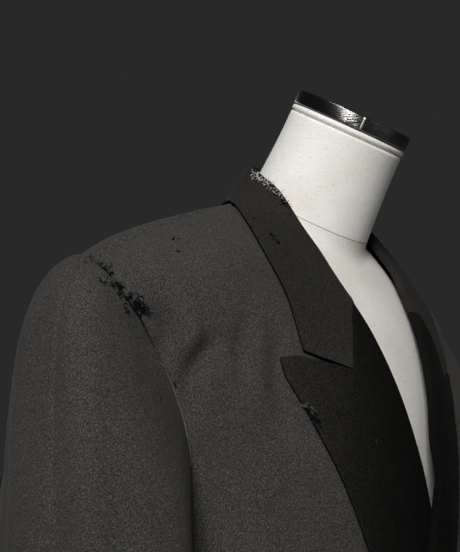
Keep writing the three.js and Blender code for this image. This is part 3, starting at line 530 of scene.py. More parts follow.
def wool(name, level=1.0, shine=1.0, across=None):
    """Matt charcoal wool: a salt-and-pepper grain of fine light and dark hairs over broad soft patches.
    across darkens it by a ramp over its distance from the centre line, in (metres, share) pairs. This is painted shade:
    the light's fall-off across the front is painted into the colour."""
    m, nt, bsdf = material(name)
    tc = node(nt, "ShaderNodeTexCoord")
    fine = node(nt, "ShaderNodeTexNoise", {"Vector": (tc, "Object"), "Scale": 1150.0, "Detail": 3.0, "Roughness": 0.6})
    hair = node(nt, "ShaderNodeMapping", {"Vector": (tc, "Object"), "Scale": (1.0, 1.0, 0.38)})
    hairs = node(nt, "ShaderNodeTexNoise", {"Vector": (hair, "Vector"), "Scale": 2300.0, "Detail": 1.0, "Roughness": 0.5})
    broad = node(nt, "ShaderNodeTexNoise", {"Vector": (tc, "Object"), "Scale": 14.0, "Detail": 3.0, "Roughness": 0.55})
    g = level
    c1 = ramp(nt, (fine, "Fac"), [(0.34, (0.022 * g, 0.0215 * g, 0.021 * g)), (0.50, (0.047 * g, 0.0455 * g, 0.0440 * g)), (0.66, (0.118 * g, 0.114 * g, 0.109 * g))])
    c2 = ramp(nt, (hairs, "Fac"), [(0.35, (0.55, 0.55, 0.55)), (0.65, (1.4, 1.38, 1.35))])
    mul = node(nt, "ShaderNodeMix", data_type="RGBA", blend_type="MULTIPLY")
    mul.inputs["Factor"].default_value = 0.8
    nt.links.new(c1.outputs["Color"], mul.inputs["A"])
    nt.links.new(c2.outputs["Color"], mul.inputs["B"])
    c3 = ramp(nt, (broad, "Fac"), [(0.3, (0.86, 0.855, 0.86)), (0.7, (1.1, 1.09, 1.07))])
    mul2 = node(nt, "ShaderNodeMix", data_type="RGBA", blend_type="MULTIPLY")
    mul2.inputs["Factor"].default_value = 1.0
    nt.links.new(mul.outputs["Result"], mul2.inputs["A"])
    nt.links.new(c3.outputs["Color"], mul2.inputs["B"])
    colour = mul2
    # painted shade: the colour is multiplied by a ramp over the distance from the centre line
    if across:
        xyz = node(nt, "ShaderNodeSeparateXYZ", {"Vector": (tc, "Object")})
        far = node(nt, "ShaderNodeMath", operation="ABSOLUTE")
        nt.links.new(xyz.outputs["X"], far.inputs[0])
        stretch = node(nt, "ShaderNodeMath", operation="MULTIPLY")
        nt.links.new(far.outputs["Value"], stretch.inputs[0])
        stretch.inputs[1].default_value = 5.0
        painted_shade_ramp = ramp(nt, (stretch, "Value"), [(d * 5.0, (k, k, k)) for d, k in across])
        colour = node(nt, "ShaderNodeMix", data_type="RGBA", blend_type="MULTIPLY")
        colour.inputs["Factor"].default_value = 1.0
        nt.links.new(mul2.outputs["Result"], colour.inputs["A"])
        nt.links.new(painted_shade_ramp.outputs["Color"], colour.inputs["B"])
    nt.links.new(colour.outputs["Result"], bsdf.inputs["Base Color"])
    bsdf.inputs["Roughness"].default_value = 0.93
    bsdf.inputs["Specular IOR Level"].default_value = 0.12 * shine
    bsdf.inputs["Sheen Weight"].default_value = 0.035 * shine
    bsdf.inputs["Sheen Roughness"].default_value = 0.6
    bsdf.inputs["Sheen Tint"].default_value = (0.75, 0.73, 0.70, 1)
    b1 = node(nt, "ShaderNodeBump", {"Height": (fine, "Fac")})
    b1.inputs["Strength"].default_value = 0.5
    b1.inputs["Distance"].default_value = 0.00018
    b2 = node(nt, "ShaderNodeBump", {"Height": (hairs, "Fac"), "Normal": (b1, "Normal")})
    b2.inputs["Strength"].default_value = 0.35
    b2.inputs["Distance"].default_value = 0.0001
    nt.links.new(b2.outputs["Normal"], bsdf.inputs["Normal"])
    return m


def plain(name, colour, rough, metal=0.0, spec=0.5, noise=0.0, scale=300.0):
    m, nt, bsdf = material(name)
    tc = node(nt, "ShaderNodeTexCoord")
    n = node(nt, "ShaderNodeTexNoise", {"Vector": (tc, "Object"), "Scale": scale, "Detail": 3.0})
    lo, hi = [c * (1 - noise) for c in colour], [c * (1 + noise) for c in colour]
    c = ramp(nt, (n, "Fac"), [(0.3, lo), (0.7, hi)])
    nt.links.new(c.outputs["Color"], bsdf.inputs["Base Color"])
    bsdf.inputs["Roughness"].default_value = rough
    bsdf.inputs["Metallic"].default_value = metal
    bsdf.inputs["Specular IOR Level"].default_value = spec
    return m


def linen(name, tone=(1.0, 1.0, 1.0)):
    """Warm off-white linen: fine crossed threads with darker slubs along both."""
    m, nt, bsdf = material(name)
    tc = node(nt, "ShaderNodeTexCoord")
    lean = node(nt, "ShaderNodeMapping", {"Vector": (tc, "Object")})
    lean.inputs["Rotation"].default_value = (-NECK_TILT * 0.6, 0, 0)
    across = node(nt, "ShaderNodeMapping", {"Vector": (lean, "Vector"), "Scale": (0.16, 0.16, 1.0)})
    along = node(nt, "ShaderNodeMapping", {"Vector": (lean, "Vector"), "Scale": (1.0, 1.0, 0.16)})
    n1 = node(nt, "ShaderNodeTexNoise", {"Vector": (across, "Vector"), "Scale": 880.0, "Detail": 2.0, "Roughness": 0.5})
    n2 = node(nt, "ShaderNodeTexNoise", {"Vector": (along, "Vector"), "Scale": 880.0, "Detail": 2.0, "Roughness": 0.5})
    s1 = ramp(nt, (n1, "Fac"), [(0.26, (0.80, 0.775, 0.73)), (0.42, (1, 1, 1))])
    s2 = ramp(nt, (n2, "Fac"), [(0.26, (0.83, 0.81, 0.77)), (0.42, (1, 1, 1))])
    stain = node(nt, "ShaderNodeTexNoise", {"Vector": (tc, "Object"), "Scale": 17.0, "Detail": 2.0})
    base = ramp(nt, (stain, "Fac"), [(0.3, [c * t for c, t in zip((0.76, 0.735, 0.68), tone)]), (0.62, [c * t for c, t in zip((0.82, 0.81, 0.785), tone)])])
    a = node(nt, "ShaderNodeMix", data_type="RGBA", blend_type="MULTIPLY")
    a.inputs["Factor"].default_value = 0.6
    nt.links.new(base.outputs["Color"], a.inputs["A"])
    nt.links.new(s1.outputs["Color"], a.inputs["B"])
    b = node(nt, "ShaderNodeMix", data_type="RGBA", blend_type="MULTIPLY")
    b.inputs["Factor"].default_value = 0.6
    nt.links.new(a.outputs["Result"], b.inputs["A"])
    nt.links.new(s2.outputs["Color"], b.inputs["B"])
    nt.links.new(b.outputs["Result"], bsdf.inputs["Base Color"])
    bsdf.inputs["Roughness"].default_value = 0.9
    bsdf.inputs["Specular IOR Level"].default_value = 0.2
    bsdf.inputs["Sheen Weight"].default_value = 0.05
    add = node(nt, "ShaderNodeMath", operation="ADD")
    nt.links.new(n1.outputs["Fac"], add.inputs[0])
    nt.links.new(n2.outputs["Fac"], add.inputs[1])
    bump = node(nt, "ShaderNodeBump", {"Height": (add, "Value")})
    bump.inputs["Strength"].default_value = 0.5
    bump.inputs["Distance"].default_value = 0.0004
    nt.links.new(bump.outputs["Normal"], bsdf.inputs["Normal"])
    return m


def brushed(name, colour, rough, lean=0.0, grooves=0.0001):
    """Steel with fine lines round the axis."""
    m, nt, bsdf = material(name)
    tc = node(nt, "ShaderNodeTexCoord")
    mp = node(nt, "ShaderNodeMapping", {"Vector": (tc, "Object"), "Scale": (0.04, 0.04, 1.0)})
    mp.inputs["Rotation"].default_value = (lean, 0, 0)
    n = node(nt, "ShaderNodeTexNoise", {"Vector": (mp, "Vector"), "Scale": 2600.0, "Detail": 2.0})
    c = ramp(nt, (n, "Fac"), [(0.3, [x * 0.82 for x in colour]), (0.7, [x * 1.1 for x in colour])])
    nt.links.new(c.outputs["Color"], bsdf.inputs["Base Color"])
    bsdf.inputs["Metallic"].default_value = 1.0
    bsdf.inputs["Roughness"].default_value = rough
    bump = node(nt, "ShaderNodeBump", {"Height": (n, "Fac")})
    bump.inputs["Strength"].default_value = 0.25 if grooves < 0.0002 else 0.7
    bump.inputs["Distance"].default_value = grooves
    nt.links.new(bump.outputs["Normal"], bsdf.inputs["Normal"])
    return m


WOOL = wool("wool", 0.72)
WOOL_COLLAR = wool("wool_collar", 0.35, 0.5)
# the lapels carry painted shade: darker towards the centre line, lighter towards their outer edges
WOOL_LAPEL_SHADED = wool("wool_lapel_painted_shade", 0.25, 0.2, across=[(0.015, 0.28), (0.055, 0.46), (0.092, 0.80), (0.127, 1.25)])
# near-black painted shade: inside worn-through holes, and on the underside and edge walls of the lapels and collar,
# where shadow falls
SHADE_BLACK = plain("painted_shade_black", (0.0035, 0.0033, 0.003), 1.0, spec=0.05, noise=0.4, scale=900)
THREAD_DARK = plain("thread_dark", (0.006, 0.006, 0.006), 0.9, spec=0.1, noise=0.3)
THREAD_GREY = plain("thread_grey", (0.10, 0.097, 0.09), 0.9, spec=0.2, noise=0.3)
SEAM_GREY = plain("seam_grey", (0.26, 0.25, 0.235), 0.9, spec=0.1, noise=0.15)
THREAD_PALE = plain("thread_pale", (0.55, 0.53, 0.49), 0.9, spec=0.2, noise=0.2)
LINEN = linen("linen")
LINEN_LOW = linen("linen_low", (0.93, 0.925, 0.905))
STEEL = brushed("cap_steel", (0.20, 0.198, 0.195), 0.22, lean=NECK_TILT, grooves=0.0004)
POST = brushed("post_steel", (0.42, 0.41, 0.40), 0.34)
PLATE = plain("base_paint", (0.022, 0.022, 0.023), 0.45, noise=0.12, scale=500)
HORN = plain("button", (0.020, 0.018, 0.016), 0.36, noise=0.35, scale=120)
CLOTHS = [WOOL, SHADE_BLACK]


def finish_piece(ob, slot, *nodes):
    if nodes:
        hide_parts(*nodes)
    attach(ob, "root")
    return ob


# ------------------------------------------------------------------ edges of the panels
def armhole(t):
    """Point of the armhole at a share of its rows."""
    n = len(ARMHOLE)
    p = np.mod(np.asarray(t, float), 1.0) * n
    i = np.floor(p).astype(int)
    w = (p - i)[..., None]
    p0, p1, p2, p3 = (ARMHOLE[(i + k) % n] for k in (-1, 0, 1, 2))
    t0, t1 = 0.5 * (p2 - p0), 0.5 * (p3 - p1)
    return p1 + t0 * w + (-3 * p1 + 3 * p2 - 2 * t0 - t1) * w**2 + (2 * p1 - 2 * p2 + t0 + t1) * w**3


_at = np.linspace(0, 1, 201)
_pts = armhole(np.minimum(_at, 1 - 1e-9))
_len = np.concatenate([[0], np.cumsum(np.linalg.norm(np.diff(_pts, axis=0), axis=1))])


def armhole_even(u):
    return armhole(np.interp(np.mod(u, 1.0), _len / _len[-1], _at))


def arm_station(row):
    return station(armhole(np.asarray(row, float) / len(ARMHOLE)))


def left_out(z):
    """The left front lies open a little wider than the right one."""
    return LEFT_ROLL_OUT * smooth((z + 250) / 95) * smooth((-14 - z) / 34)


def roll_x(z, side):
    return table(ROLL, z, 1) + (left_out(z) if side > 0 else 0)


def roll_station(z, side):
    return station(front_point(JACKET, roll_x(z, side), z))


LEVEL_F = float(arm_station(SIDE_SEAM_FRONT)[1])
LEVEL_B = float(arm_station(SIDE_SEAM_BACK)[1])
NECK_POINT = top_point(JACKET, 71.0, 14.0)
TIP_POINT = surf(JACKET, *arm_station(0.0))
NAPE = top_point(JACKET, 0.0, NAPE_Y)


def two(th, s):
    return np.stack(np.broadcast_arrays(np.asarray(th, float), np.asarray(s, float)), -1)


def shoulder_station(t):
    t = np.asarray(t, float)
    p = top_point(JACKET, NECK_POINT[0] + (TIP_POINT[0] - NECK_POINT[0]) * t, NECK_POINT[1] + (TIP_POINT[1] - NECK_POINT[1]) * t)
    return two(*station(p))


def front_edges(side):
    def left(v):
        v = np.asarray(v, float)
        z = np.where(v < FRONT_SPLIT, HEM + v / FRONT_SPLIT * (LEVEL_F - HEM), LEVEL_F + (v - FRONT_SPLIT) / (1 - FRONT_SPLIT) * (-6 - LEVEL_F))
        x = np.where(z <= BREAK_Z, -FRONT_EDGE_X, roll_x(np.maximum(z, BREAK_Z), side))
        return two(*station(front_point(JACKET, x, z)))

    def right(v):
        v = np.asarray(v, float)
        th1, _ = arm_station(SIDE_SEAM_FRONT)
        t = np.clip(v / FRONT_SPLIT, 0, 1)
        low = two(SIDE_FRONT_HEM + (th1 - SIDE_FRONT_HEM) * t, HEM + (LEVEL_F - HEM) * t)
        row = SIDE_SEAM_FRONT * (1 - np.clip((v - FRONT_SPLIT) / (1 - FRONT_SPLIT), 0, 1))
        return np.where((v < FRONT_SPLIT)[..., None], low, two(*arm_station(row)))

    l0, r0, l1 = left(0.0), right(0.0), left(1.0)

    def bottom(u):
        u = np.asarray(u, float)[..., None]
        return l0 + (r0 - l0) * u

    def top(u):
        u = np.asarray(u, float)
        k = 0.16
        s0 = shoulder_station(0.0)
        a = l1 + (s0 - l1) * np.clip(u / k, 0, 1)[..., None]
        b = shoulder_station(np.clip((u - k) / (1 - k), 0, 1))
        return np.where((u < k)[..., None], a, b)

    return left, right, bottom, top


def side_edges():
    thf, thb = arm_station(SIDE_SEAM_FRONT)[0], arm_station(SIDE_SEAM_BACK)[0]

    def left(v):
        v = np.asarray(v, float)
        return two(SIDE_FRONT_HEM + (thf - SIDE_FRONT_HEM) * v, HEM + (LEVEL_F - HEM) * v)

    def right(v):
        v = np.asarray(v, float)
        return two(SIDE_BACK_HEM + (thb - SIDE_BACK_HEM) * v, HEM + (LEVEL_B - HEM) * v)

    def bottom(u):
        u = np.asarray(u, float)[..., None]
        return left(0.0) + (right(0.0) - left(0.0)) * u

    def top(u):
        return two(*arm_station(SIDE_SEAM_FRONT + (SIDE_SEAM_BACK - SIDE_SEAM_FRONT) * np.asarray(u, float)))

    return left, right, bottom, top


def back_edges():
    top_s = float(station(NAPE)[1])
    thb = arm_station(SIDE_SEAM_BACK)[0]

    def left(v):
        v = np.asarray(v, float)
        t = np.clip(v / FRONT_SPLIT, 0, 1)
        low = two(SIDE_BACK_HEM + (thb - SIDE_BACK_HEM) * t, HEM + (LEVEL_B - HEM) * t)
        row = SIDE_SEAM_BACK + (16 - SIDE_SEAM_BACK) * np.clip((v - FRONT_SPLIT) / (1 - FRONT_SPLIT), 0, 1)
        return np.where((v < FRONT_SPLIT)[..., None], low, two(*arm_station(row)))

    def right(v):
        v = np.asarray(v, float)
        s = np.where(v < FRONT_SPLIT, HEM + v / FRONT_SPLIT * (LEVEL_B - HEM), LEVEL_B + (v - FRONT_SPLIT) / (1 - FRONT_SPLIT) * (top_s - LEVEL_B))
        return two(math.pi, s)

    def bottom(u):
        u = np.asarray(u, float)[..., None]
        return left(0.0) + (right(0.0) - left(0.0)) * u

    def top(u):
        u = np.asarray(u, float)
        a = shoulder_station(1 - np.clip(u / 0.7, 0, 1))
        t = np.clip((u - 0.7) / 0.3, 0, 1)
        ang = t * math.pi / 2
        p = top_point(JACKET, 71 * np.cos(ang), 14 + (NAPE_Y - 14) * np.sin(ang))
        b = two(*station(p))
        b[..., 0] = np.where(t > 0.999, math.pi, b[..., 0])
        return np.where((u < 0.7)[..., None], a, b)

    return left, right, bottom, top


def blend(E, us, vs, space=False):
    """Stations of a panel's grid, blended between its four edges."""
    left, right, bottom, top = E
    f = (lambda q: surf(JACKET, q[..., 0], q[..., 1])) if space else (lambda q: q)
    L, R, B, T = f(left(vs)), f(right(vs)), f(bottom(us)), f(top(us))
    c00, c10, c01, c11 = f(left(0.0)), f(right(0.0)), f(left(1.0)), f(right(1.0))
    u, v = us[None, :, None], vs[:, None, None]
    P = ((1 - u) * L[:, None] + u * R[:, None] + (1 - v) * B[None] + v * T[None]
         - ((1 - u) * (1 - v) * c00 + u * (1 - v) * c10 + (1 - u) * v * c01 + u * v * c11))
    if space:
        th, s = station(P)
        return th, s
    return P[..., 0], P[..., 1]


def over_lift(P):
    """The left front stands out a little where it covers the right front and the right lapel."""
    x, z = P[..., 0], P[..., 2]
    past = x + np.where(z < BREAK_Z, -FRONT_EDGE_X, table(ROLL, z, 1))
    high = (OVER_LIFT + (OVER_LAPEL_LIFT - OVER_LIFT) * smooth((z - BREAK_Z + 18) / 34)) * (1 - smooth((z + 232) / 70))
    return high * (1 - smooth((past - 9) / 40))


# holes and tears: x, y, z, half size, for the right front, sleeve, collar and lapel
TEARS = {
    "front": [(-186, -11, -47, 1.5), (-192, -21, -59, 1.25), (-188.5, -12.5, -48.5, 0.8), (-198, -32, -158, 0.8)],
    "seam": [(-242, 14, -71, 0.8), (-243.5, 7, -75, 1.5), (-241, 1.5, -79, 2.6), (-239, -2.5, -82, 1.9),
             (-237, -10.6, -91.5, 2.1), (-241, -8, -89.5, 1.4), (-247, -9.4, -91.2, 1.3),
             (-231.7, -14.6, -97.5, 1.8), (-227.4, -17.6, -102, 2.7), (-223, -20.5, -107.3, 2.2), (-229.5, -17, -106, 2.0)],
    "collar": [(-109.1, -26.6, -19.8, 1.3), (-104.2, -39.6, -33, 1.8), (-102.2, -45, -40, 1.9), (-105.5, -42.5, -38, 1.3), (-101.5, -41, -36.5, 1.0)],
    "lapel": [(-113.9, -90.3, -176.7, 2.6), (-109.8, -92.6, -180.8, 2.3), (-117.5, -88.3, -172.5, 1.7), (-111, -90.5, -173, 1.2)],
}


def worn(P, spots, seed=1, rough=0.55):
    """Cells of a grid that are worn away: near a spot, with a ragged edge."""
    c = (P[:-1, :-1] + P[1:, 1:]) / 2
    r = np.random.default_rng(seed)
    k = r.normal(size=(5, 3))
    k = k / np.linalg.norm(k, axis=1, keepdims=True) * 2 * math.pi / np.array([[2.6], [3.4], [4.2], [5.6], [7.5]])
    ragged = sum(np.sin(c @ k[i] + i) for i in range(5)) / 5
    hit = np.zeros(c.shape[:2], bool)
    for x, y, z, size in spots:
        d = np.linalg.norm(c - np.array([x, y, z]), axis=-1)
        if d.min() > 9:
            continue
        d = np.linalg.norm(c - c[np.unravel_index(np.argmin(d), d.shape)], axis=-1)
        hit |= d < size * (1 + rough * 1.6 * ragged)
    return hit


def body_panel(name, E, us, vs, side, seams, nodes, lift=None, space=False, tears=(), seed=1):
    """seams says what each edge is: left, right, bottom, top as s seam, e free edge or n nothing."""
    th, s = blend(E, us, vs, space)
    P = surf(JACKET, th, s)
    N = normal(JACKET, P)
    # the two side edges are pulled in from the seam by a hair
    side_dir = unit(np.gradient(P, axis=1))
    pull = np.zeros(P.shape[:2])
    pull[:, 0], pull[:, -1] = 0.12, -0.12
    P = P + side_dir * pull[..., None]
    dl, dr, db, dt = edge_distance(P)
    h = np.zeros(P.shape[:2])
    back = np.zeros(P.shape[:2])
    for kind, d in zip(seams, (dl, dr, db, dt)):
        if kind == "s":
            h -= 0.42 * np.exp(-((d / 0.8) ** 2))
        elif kind == "t":
            h -= 0.2 * np.exp(-((d / 0.8) ** 2))
        elif kind == "e":
            h -= 0.55 * np.exp(-((d / 1.0) ** 2))
            back += 0.55 * np.exp(-((d / 1.0) ** 2))
            h -= 0.22 * np.exp(-(((d - 6.0) / 1.1) ** 2))
        elif kind == "h":
            h -= 0.5 * np.exp(-((d / 1.2) ** 2))
            back += 0.5 * np.exp(-((d / 1.2) ** 2))
            h -= 0.15 * np.exp(-(((d - 34.0) / 2.2) ** 2))
    if "front" in name:
        h -= 0.55 * np.exp(-((dr / 1.3) ** 2)) * smooth((P[..., 2] - LEVEL_F) / 12)
    M = P * [side, 1, 1]
    h += ground(M)
    if lift is not None:
        h += lift(P)
    outer = P + N * h[..., None]
    inner = outer - N * (CLOTH - back)[..., None]
    outer, inner = outer * [side, 1, 1], inner * [side, 1, 1]
    pit = worn(outer, tears, seed) if len(tears) else None
    ob = shell(name, outer, inner, CLOTHS, pit=pit)
    finish_piece(ob, "wool", *nodes)
    return ob, outer


CLOTH_OBJECTS = []


# rows close together where the tears are, and at the hem and edges
us_front = spread(74, low=4, high=4, fine=0.003)
vs_front = spread(120, low=4, high=3, fine=0.0016)
us_right = np.unique(np.concatenate([us_front, np.linspace(0.93, 1, 34), np.linspace(0.70, 0.86, 40)]))
vs_right = np.unique(np.concatenate([vs_front, np.linspace(0.775, 0.999, 170)]))
ob, FRONT_R = body_panel("visual_front_right", front_edges(-1), us_right, vs_right, -1, ("e", "s", "h", "t"), ["front_right"], tears=TEARS["front"] + TEARS["seam"], seed=5)
CLOTH_OBJECTS.append(ob)
ob, FRONT_L = body_panel("visual_front_left", front_edges(1), us_front, vs_front, 1, ("e", "s", "h", "t"), ["front_left"], lift=over_lift, tears=[(236, -13, -100, 2.6), (241, -4, -86, 2.0)], seed=8)
CLOTH_OBJECTS.append(ob)
for sd, nm in ((-1, "right"), (1, "left")):
    ob, _ = body_panel("visual_side_" + nm, side_edges(), spread(34, fine=0.008), spread(80, fine=0.003), sd, ("s", "s", "h", "s"), ["side_" + nm])
    CLOTH_OBJECTS.append(ob)
    ob, _ = body_panel("visual_back_" + nm, back_edges(), spread(66, low=3, high=3, fine=0.005), spread(116, low=4, high=3, fine=0.002), sd, ("s", "s", "h", "t"), ["back_" + nm], space=True)
    CLOTH_OBJECTS.append(ob)


# ------------------------------------------------------------------ lapels
def turned_row(roll, edge, shares, lift, under):
    """The fold round the roll edge, then points out to the edge at the given shares. Arrays over rows."""
    p0 = surf(JACKET, *roll)
    n0 = normal(JACKET, p0)
    at = lambda u: surf(JACKET, roll[0] + (edge[0] - roll[0]) * u, roll[1] + (edge[1] - roll[1]) * u)
    d = at(0.08) - p0
    d = unit(d - n0 * np.sum(d * n0, -1, keepdims=True))
    row = [p0 + d * a + n0 * (b + under(p0))[..., None] for a, b in FOLD]
    width = np.linalg.norm(p0 - at(1.0), axis=-1)
    first = np.minimum(3 / width, 0.3)
    for w in shares:
        u = first + (1 - first) * w
        p = at(u)
        h = lift + 0.9 * np.exp(-(u * width) / 18) + under(p)
        row.append(p + normal(JACKET, p) * h[..., None])
    return np.stack(row, axis=-2)


def corner(rows, shares):
    """A table of shares, x and z read with straight runs between its rows."""
    t = np.array(rows, float)
    return np.interp(shares, t[:, 0], t[:, 1]), np.interp(shares, t[:, 0], t[:, 2])


def bend(P, shares, weight, rows):
    """The rows near the end bend until the last one follows a table of its columns. P is the leaf's part of the grid."""
    gx, gz = corner(rows, shares)
    end = P[-1]
    start = np.clip(1 - shares / rows[2][0], 0, 1)  # the first run starts at the piece's own point on the roll
    dx = gx + (abs(end[0, 0]) - rows[0][1]) * start - np.abs(end[:, 0])
    dz = gz + (end[0, 2] - rows[0][2]) * start - end[:, 2]
    k = weight > 0
    q = P[k]
    sgn = np.sign(q[..., 0] + 1e-9)
    was = front_point(JACKET, q[..., 0], q[..., 2])
    now = front_point(JACKET, q[..., 0] + sgn * dx[None] * weight[k][:, None], q[..., 2] + dz[None] * weight[k][:, None])
    h = outside(JACKET, q[..., 0], q[..., 1], q[..., 2])[..., None]
    out = P.copy()
    out[k] = q + (now + normal(JACKET, now) * h) - (was + normal(JACKET, was) * h)
    return out


# pressed break of the collar and lapel, along their seam and on down the lapel: x, z
TURN_LINE = np.array([(46.5, -79), (59.5, -100.2), (67.5, -118), (74.4, -139), (80, -162), (87, -188), (96, -214)], float)


def turn_lift(P, out=0.0):
    """The cloth rises to the break and falls away to the roll line beyond it; this fades down the lapel."""
    x, z = np.abs(P[..., 0]) - out, P[..., 2]
    line = np.interp(-z, -TURN_LINE[:, 1], TURN_LINE[:, 0])
    rollx = table(ROLL, z, 1)
    inside = np.clip((x - rollx) / np.maximum(line - rollx, 4), 0, 1)
    out = np.clip(1 - (x - line) / 48, 0, 1)
    tent = np.where(x < line, inside, out)
    k = 0.05 + 0.3 * smooth((-140 - z) / 50)
    tent = np.where(tent > 1 - k, 1 - k / 2 - (1 - tent) ** 2 / (2 * k), tent)
    return TURN_HEIGHT * tent * smooth((z + 240) / 90) * smooth((-52 - z) / 36)


TURN_HEIGHT = 3.6


def soft_edge(P, N, dists, size=0.6, reach=1.2):
    h = np.zeros(P.shape[:2])
    for d in dists:
        h = np.maximum(h, np.exp(-((d / reach) ** 2)))
    return size * h


def lapel(side):
    under = over_lift if side > 0 else (lambda p: np.zeros(p.shape[:-1]))
    v = np.unique(np.concatenate([np.linspace(0, 1, 118), 1 - np.array([0.0015, 0.003, 0.006]), np.array([0.003, 0.006])]))
    w = np.unique(np.concatenate([np.linspace(0, 1, 61), 1 / 3 + np.array([-0.004, 0, 0.004]), 1 - np.array([0.004, 0.008])]))
    if side < 0:
        v = np.unique(np.concatenate([v, np.linspace(0.70, 0.84, 44)]))
        w = np.unique(np.concatenate([w, np.linspace(0.88, 1, 18)]))
    z = BREAK_Z + 6 + (LAPEL_TOP[0][2] - BREAK_Z - 6) * v
    edge_z = BREAK_Z + 5 + (-133 - BREAK_Z - 5) * v
    wider = LEFT_EDGE_OUT * (side > 0)
    edge = station(front_point(JACKET, table(LAPEL_EDGE, edge_z, 1) + wider * smooth((edge_z + 300) / 90), edge_z))
    P = turned_row(roll_station(z, side), edge, w, LAPEL_LIFT, under)
    leaf = bend(P[:, 4:], w, smooth((v - 0.53) / 0.47), [(a, b + wider, c) for a, b, c in LAPEL_TOP])
    fold = spline(np.concatenate([P[:, :4], leaf[:, :1], leaf[:, 3:4]], axis=1), 5, axis=1)[:, :20]
    P = np.concatenate([fold, leaf], axis=1)
    N = grid_normals(P)
    if np.mean(N[:, 30:, 1]) > 0:
        N = -N
    N[:, 24:] = normal(JACKET, P[:, 24:])
    dl, dr, db, dt = edge_distance(P)
    flat = smooth((dl - 8) / 14)
    M = P * [side, 1, 1]
    h = ground(M) * flat * 0.8 + turn_lift(P, wider * 1.5) * smooth((dl - 4) / 8)
    # the peak lies a little off the chest, and the outer edge is pressed flat
    h += 0.5 * np.sin(M[..., 2] / 17.0 + 1.3) * smooth((dl - 20) / 30) * 0.5
    soft = soft_edge(P, N, (dr, dt), 0.45, 0.9)
    outer = P + N * (h - soft * 0.9 - 0.20 * np.exp(-(((dr - 5.5) / 1.0) ** 2)))[..., None]
    inner = P + N * (h - CLOTH + soft * 0.7)[..., None]
    outer, inner = outer * [side, 1, 1], inner * [side, 1, 1]
    nm = "right" if side < 0 else "left"
    pit = worn(outer, TEARS["lapel"], 3) if side < 0 else None
    # edge walls and underside in the black painted shade: a painted shadow line along and under the lapel's edge
    ob = shell("visual_lapel_" + nm, outer, inner, [WOOL_LAPEL_SHADED, SHADE_BLACK], pit=pit, rim=1, under=1)
    finish_piece(ob, "wool", "lapel_" + nm)
    CLOTH_OBJECTS.append(ob)
    return outer, N


LAPEL_R, LAPEL_RN = lapel(-1)
lapel(1)


# ------------------------------------------------------------------ collar
def collar_half(side):
    rows = []
    cols = 5
    for fx, fy, fz, ex, ey, ez, bx, by in COLLAR:
        F, Eg = np.array([fx, fy, fz], float), np.array([ex, ey, ez], float)
        B = np.array([bx, by, float(top_point(JACKET, float(bx), float(by))[2]) + 0.5])
        inward = unit(np.array([-fx, -(fy + 12), 0.0]))
        row = [B + inward * 1.0, B + (F - B) * 0.55 + inward * 1.4, F + inward * 2.6 + [0, 0, -2.6], F + inward * 1.2 + [0, 0, 0.6]]
        bulge = unit(np.array([F[0] * 0.4, F[1], 0.0]))
        pts = []
        for w in np.linspace(0, 1, cols + 1):
            p = F + (Eg - F) * w + bulge * 2.6 * math.sin(math.pi * w)
            for _ in range(4):
                g = float(outside(JACKET, *p))
                if g < LEAF_LIFT or w > 0.98:
                    p = p + normal(JACKET, p) * (LEAF_LIFT - g)
            pts.append(p)
        pts[0] = pts[0] - inward * 1.8 + [0, 0, 0.2]
        rows.append(np.array(row + pts))
    for z, ex, ez in COLLAR_FRONT:
        roll = roll_station(np.array([float(z)]), side)
        edge = station(front_point(JACKET, np.array([float(ex)]) + LEFT_EDGE_OUT * (side > 0) * smooth((-10 - z) / 30), np.array([float(ez)])))
        rows.append(turned_row(roll, edge, np.linspace(0, 1, cols + 1), LEAF_LIFT, lambda p: np.zeros(p.shape[:-1]))[0])
    return np.array(rows)


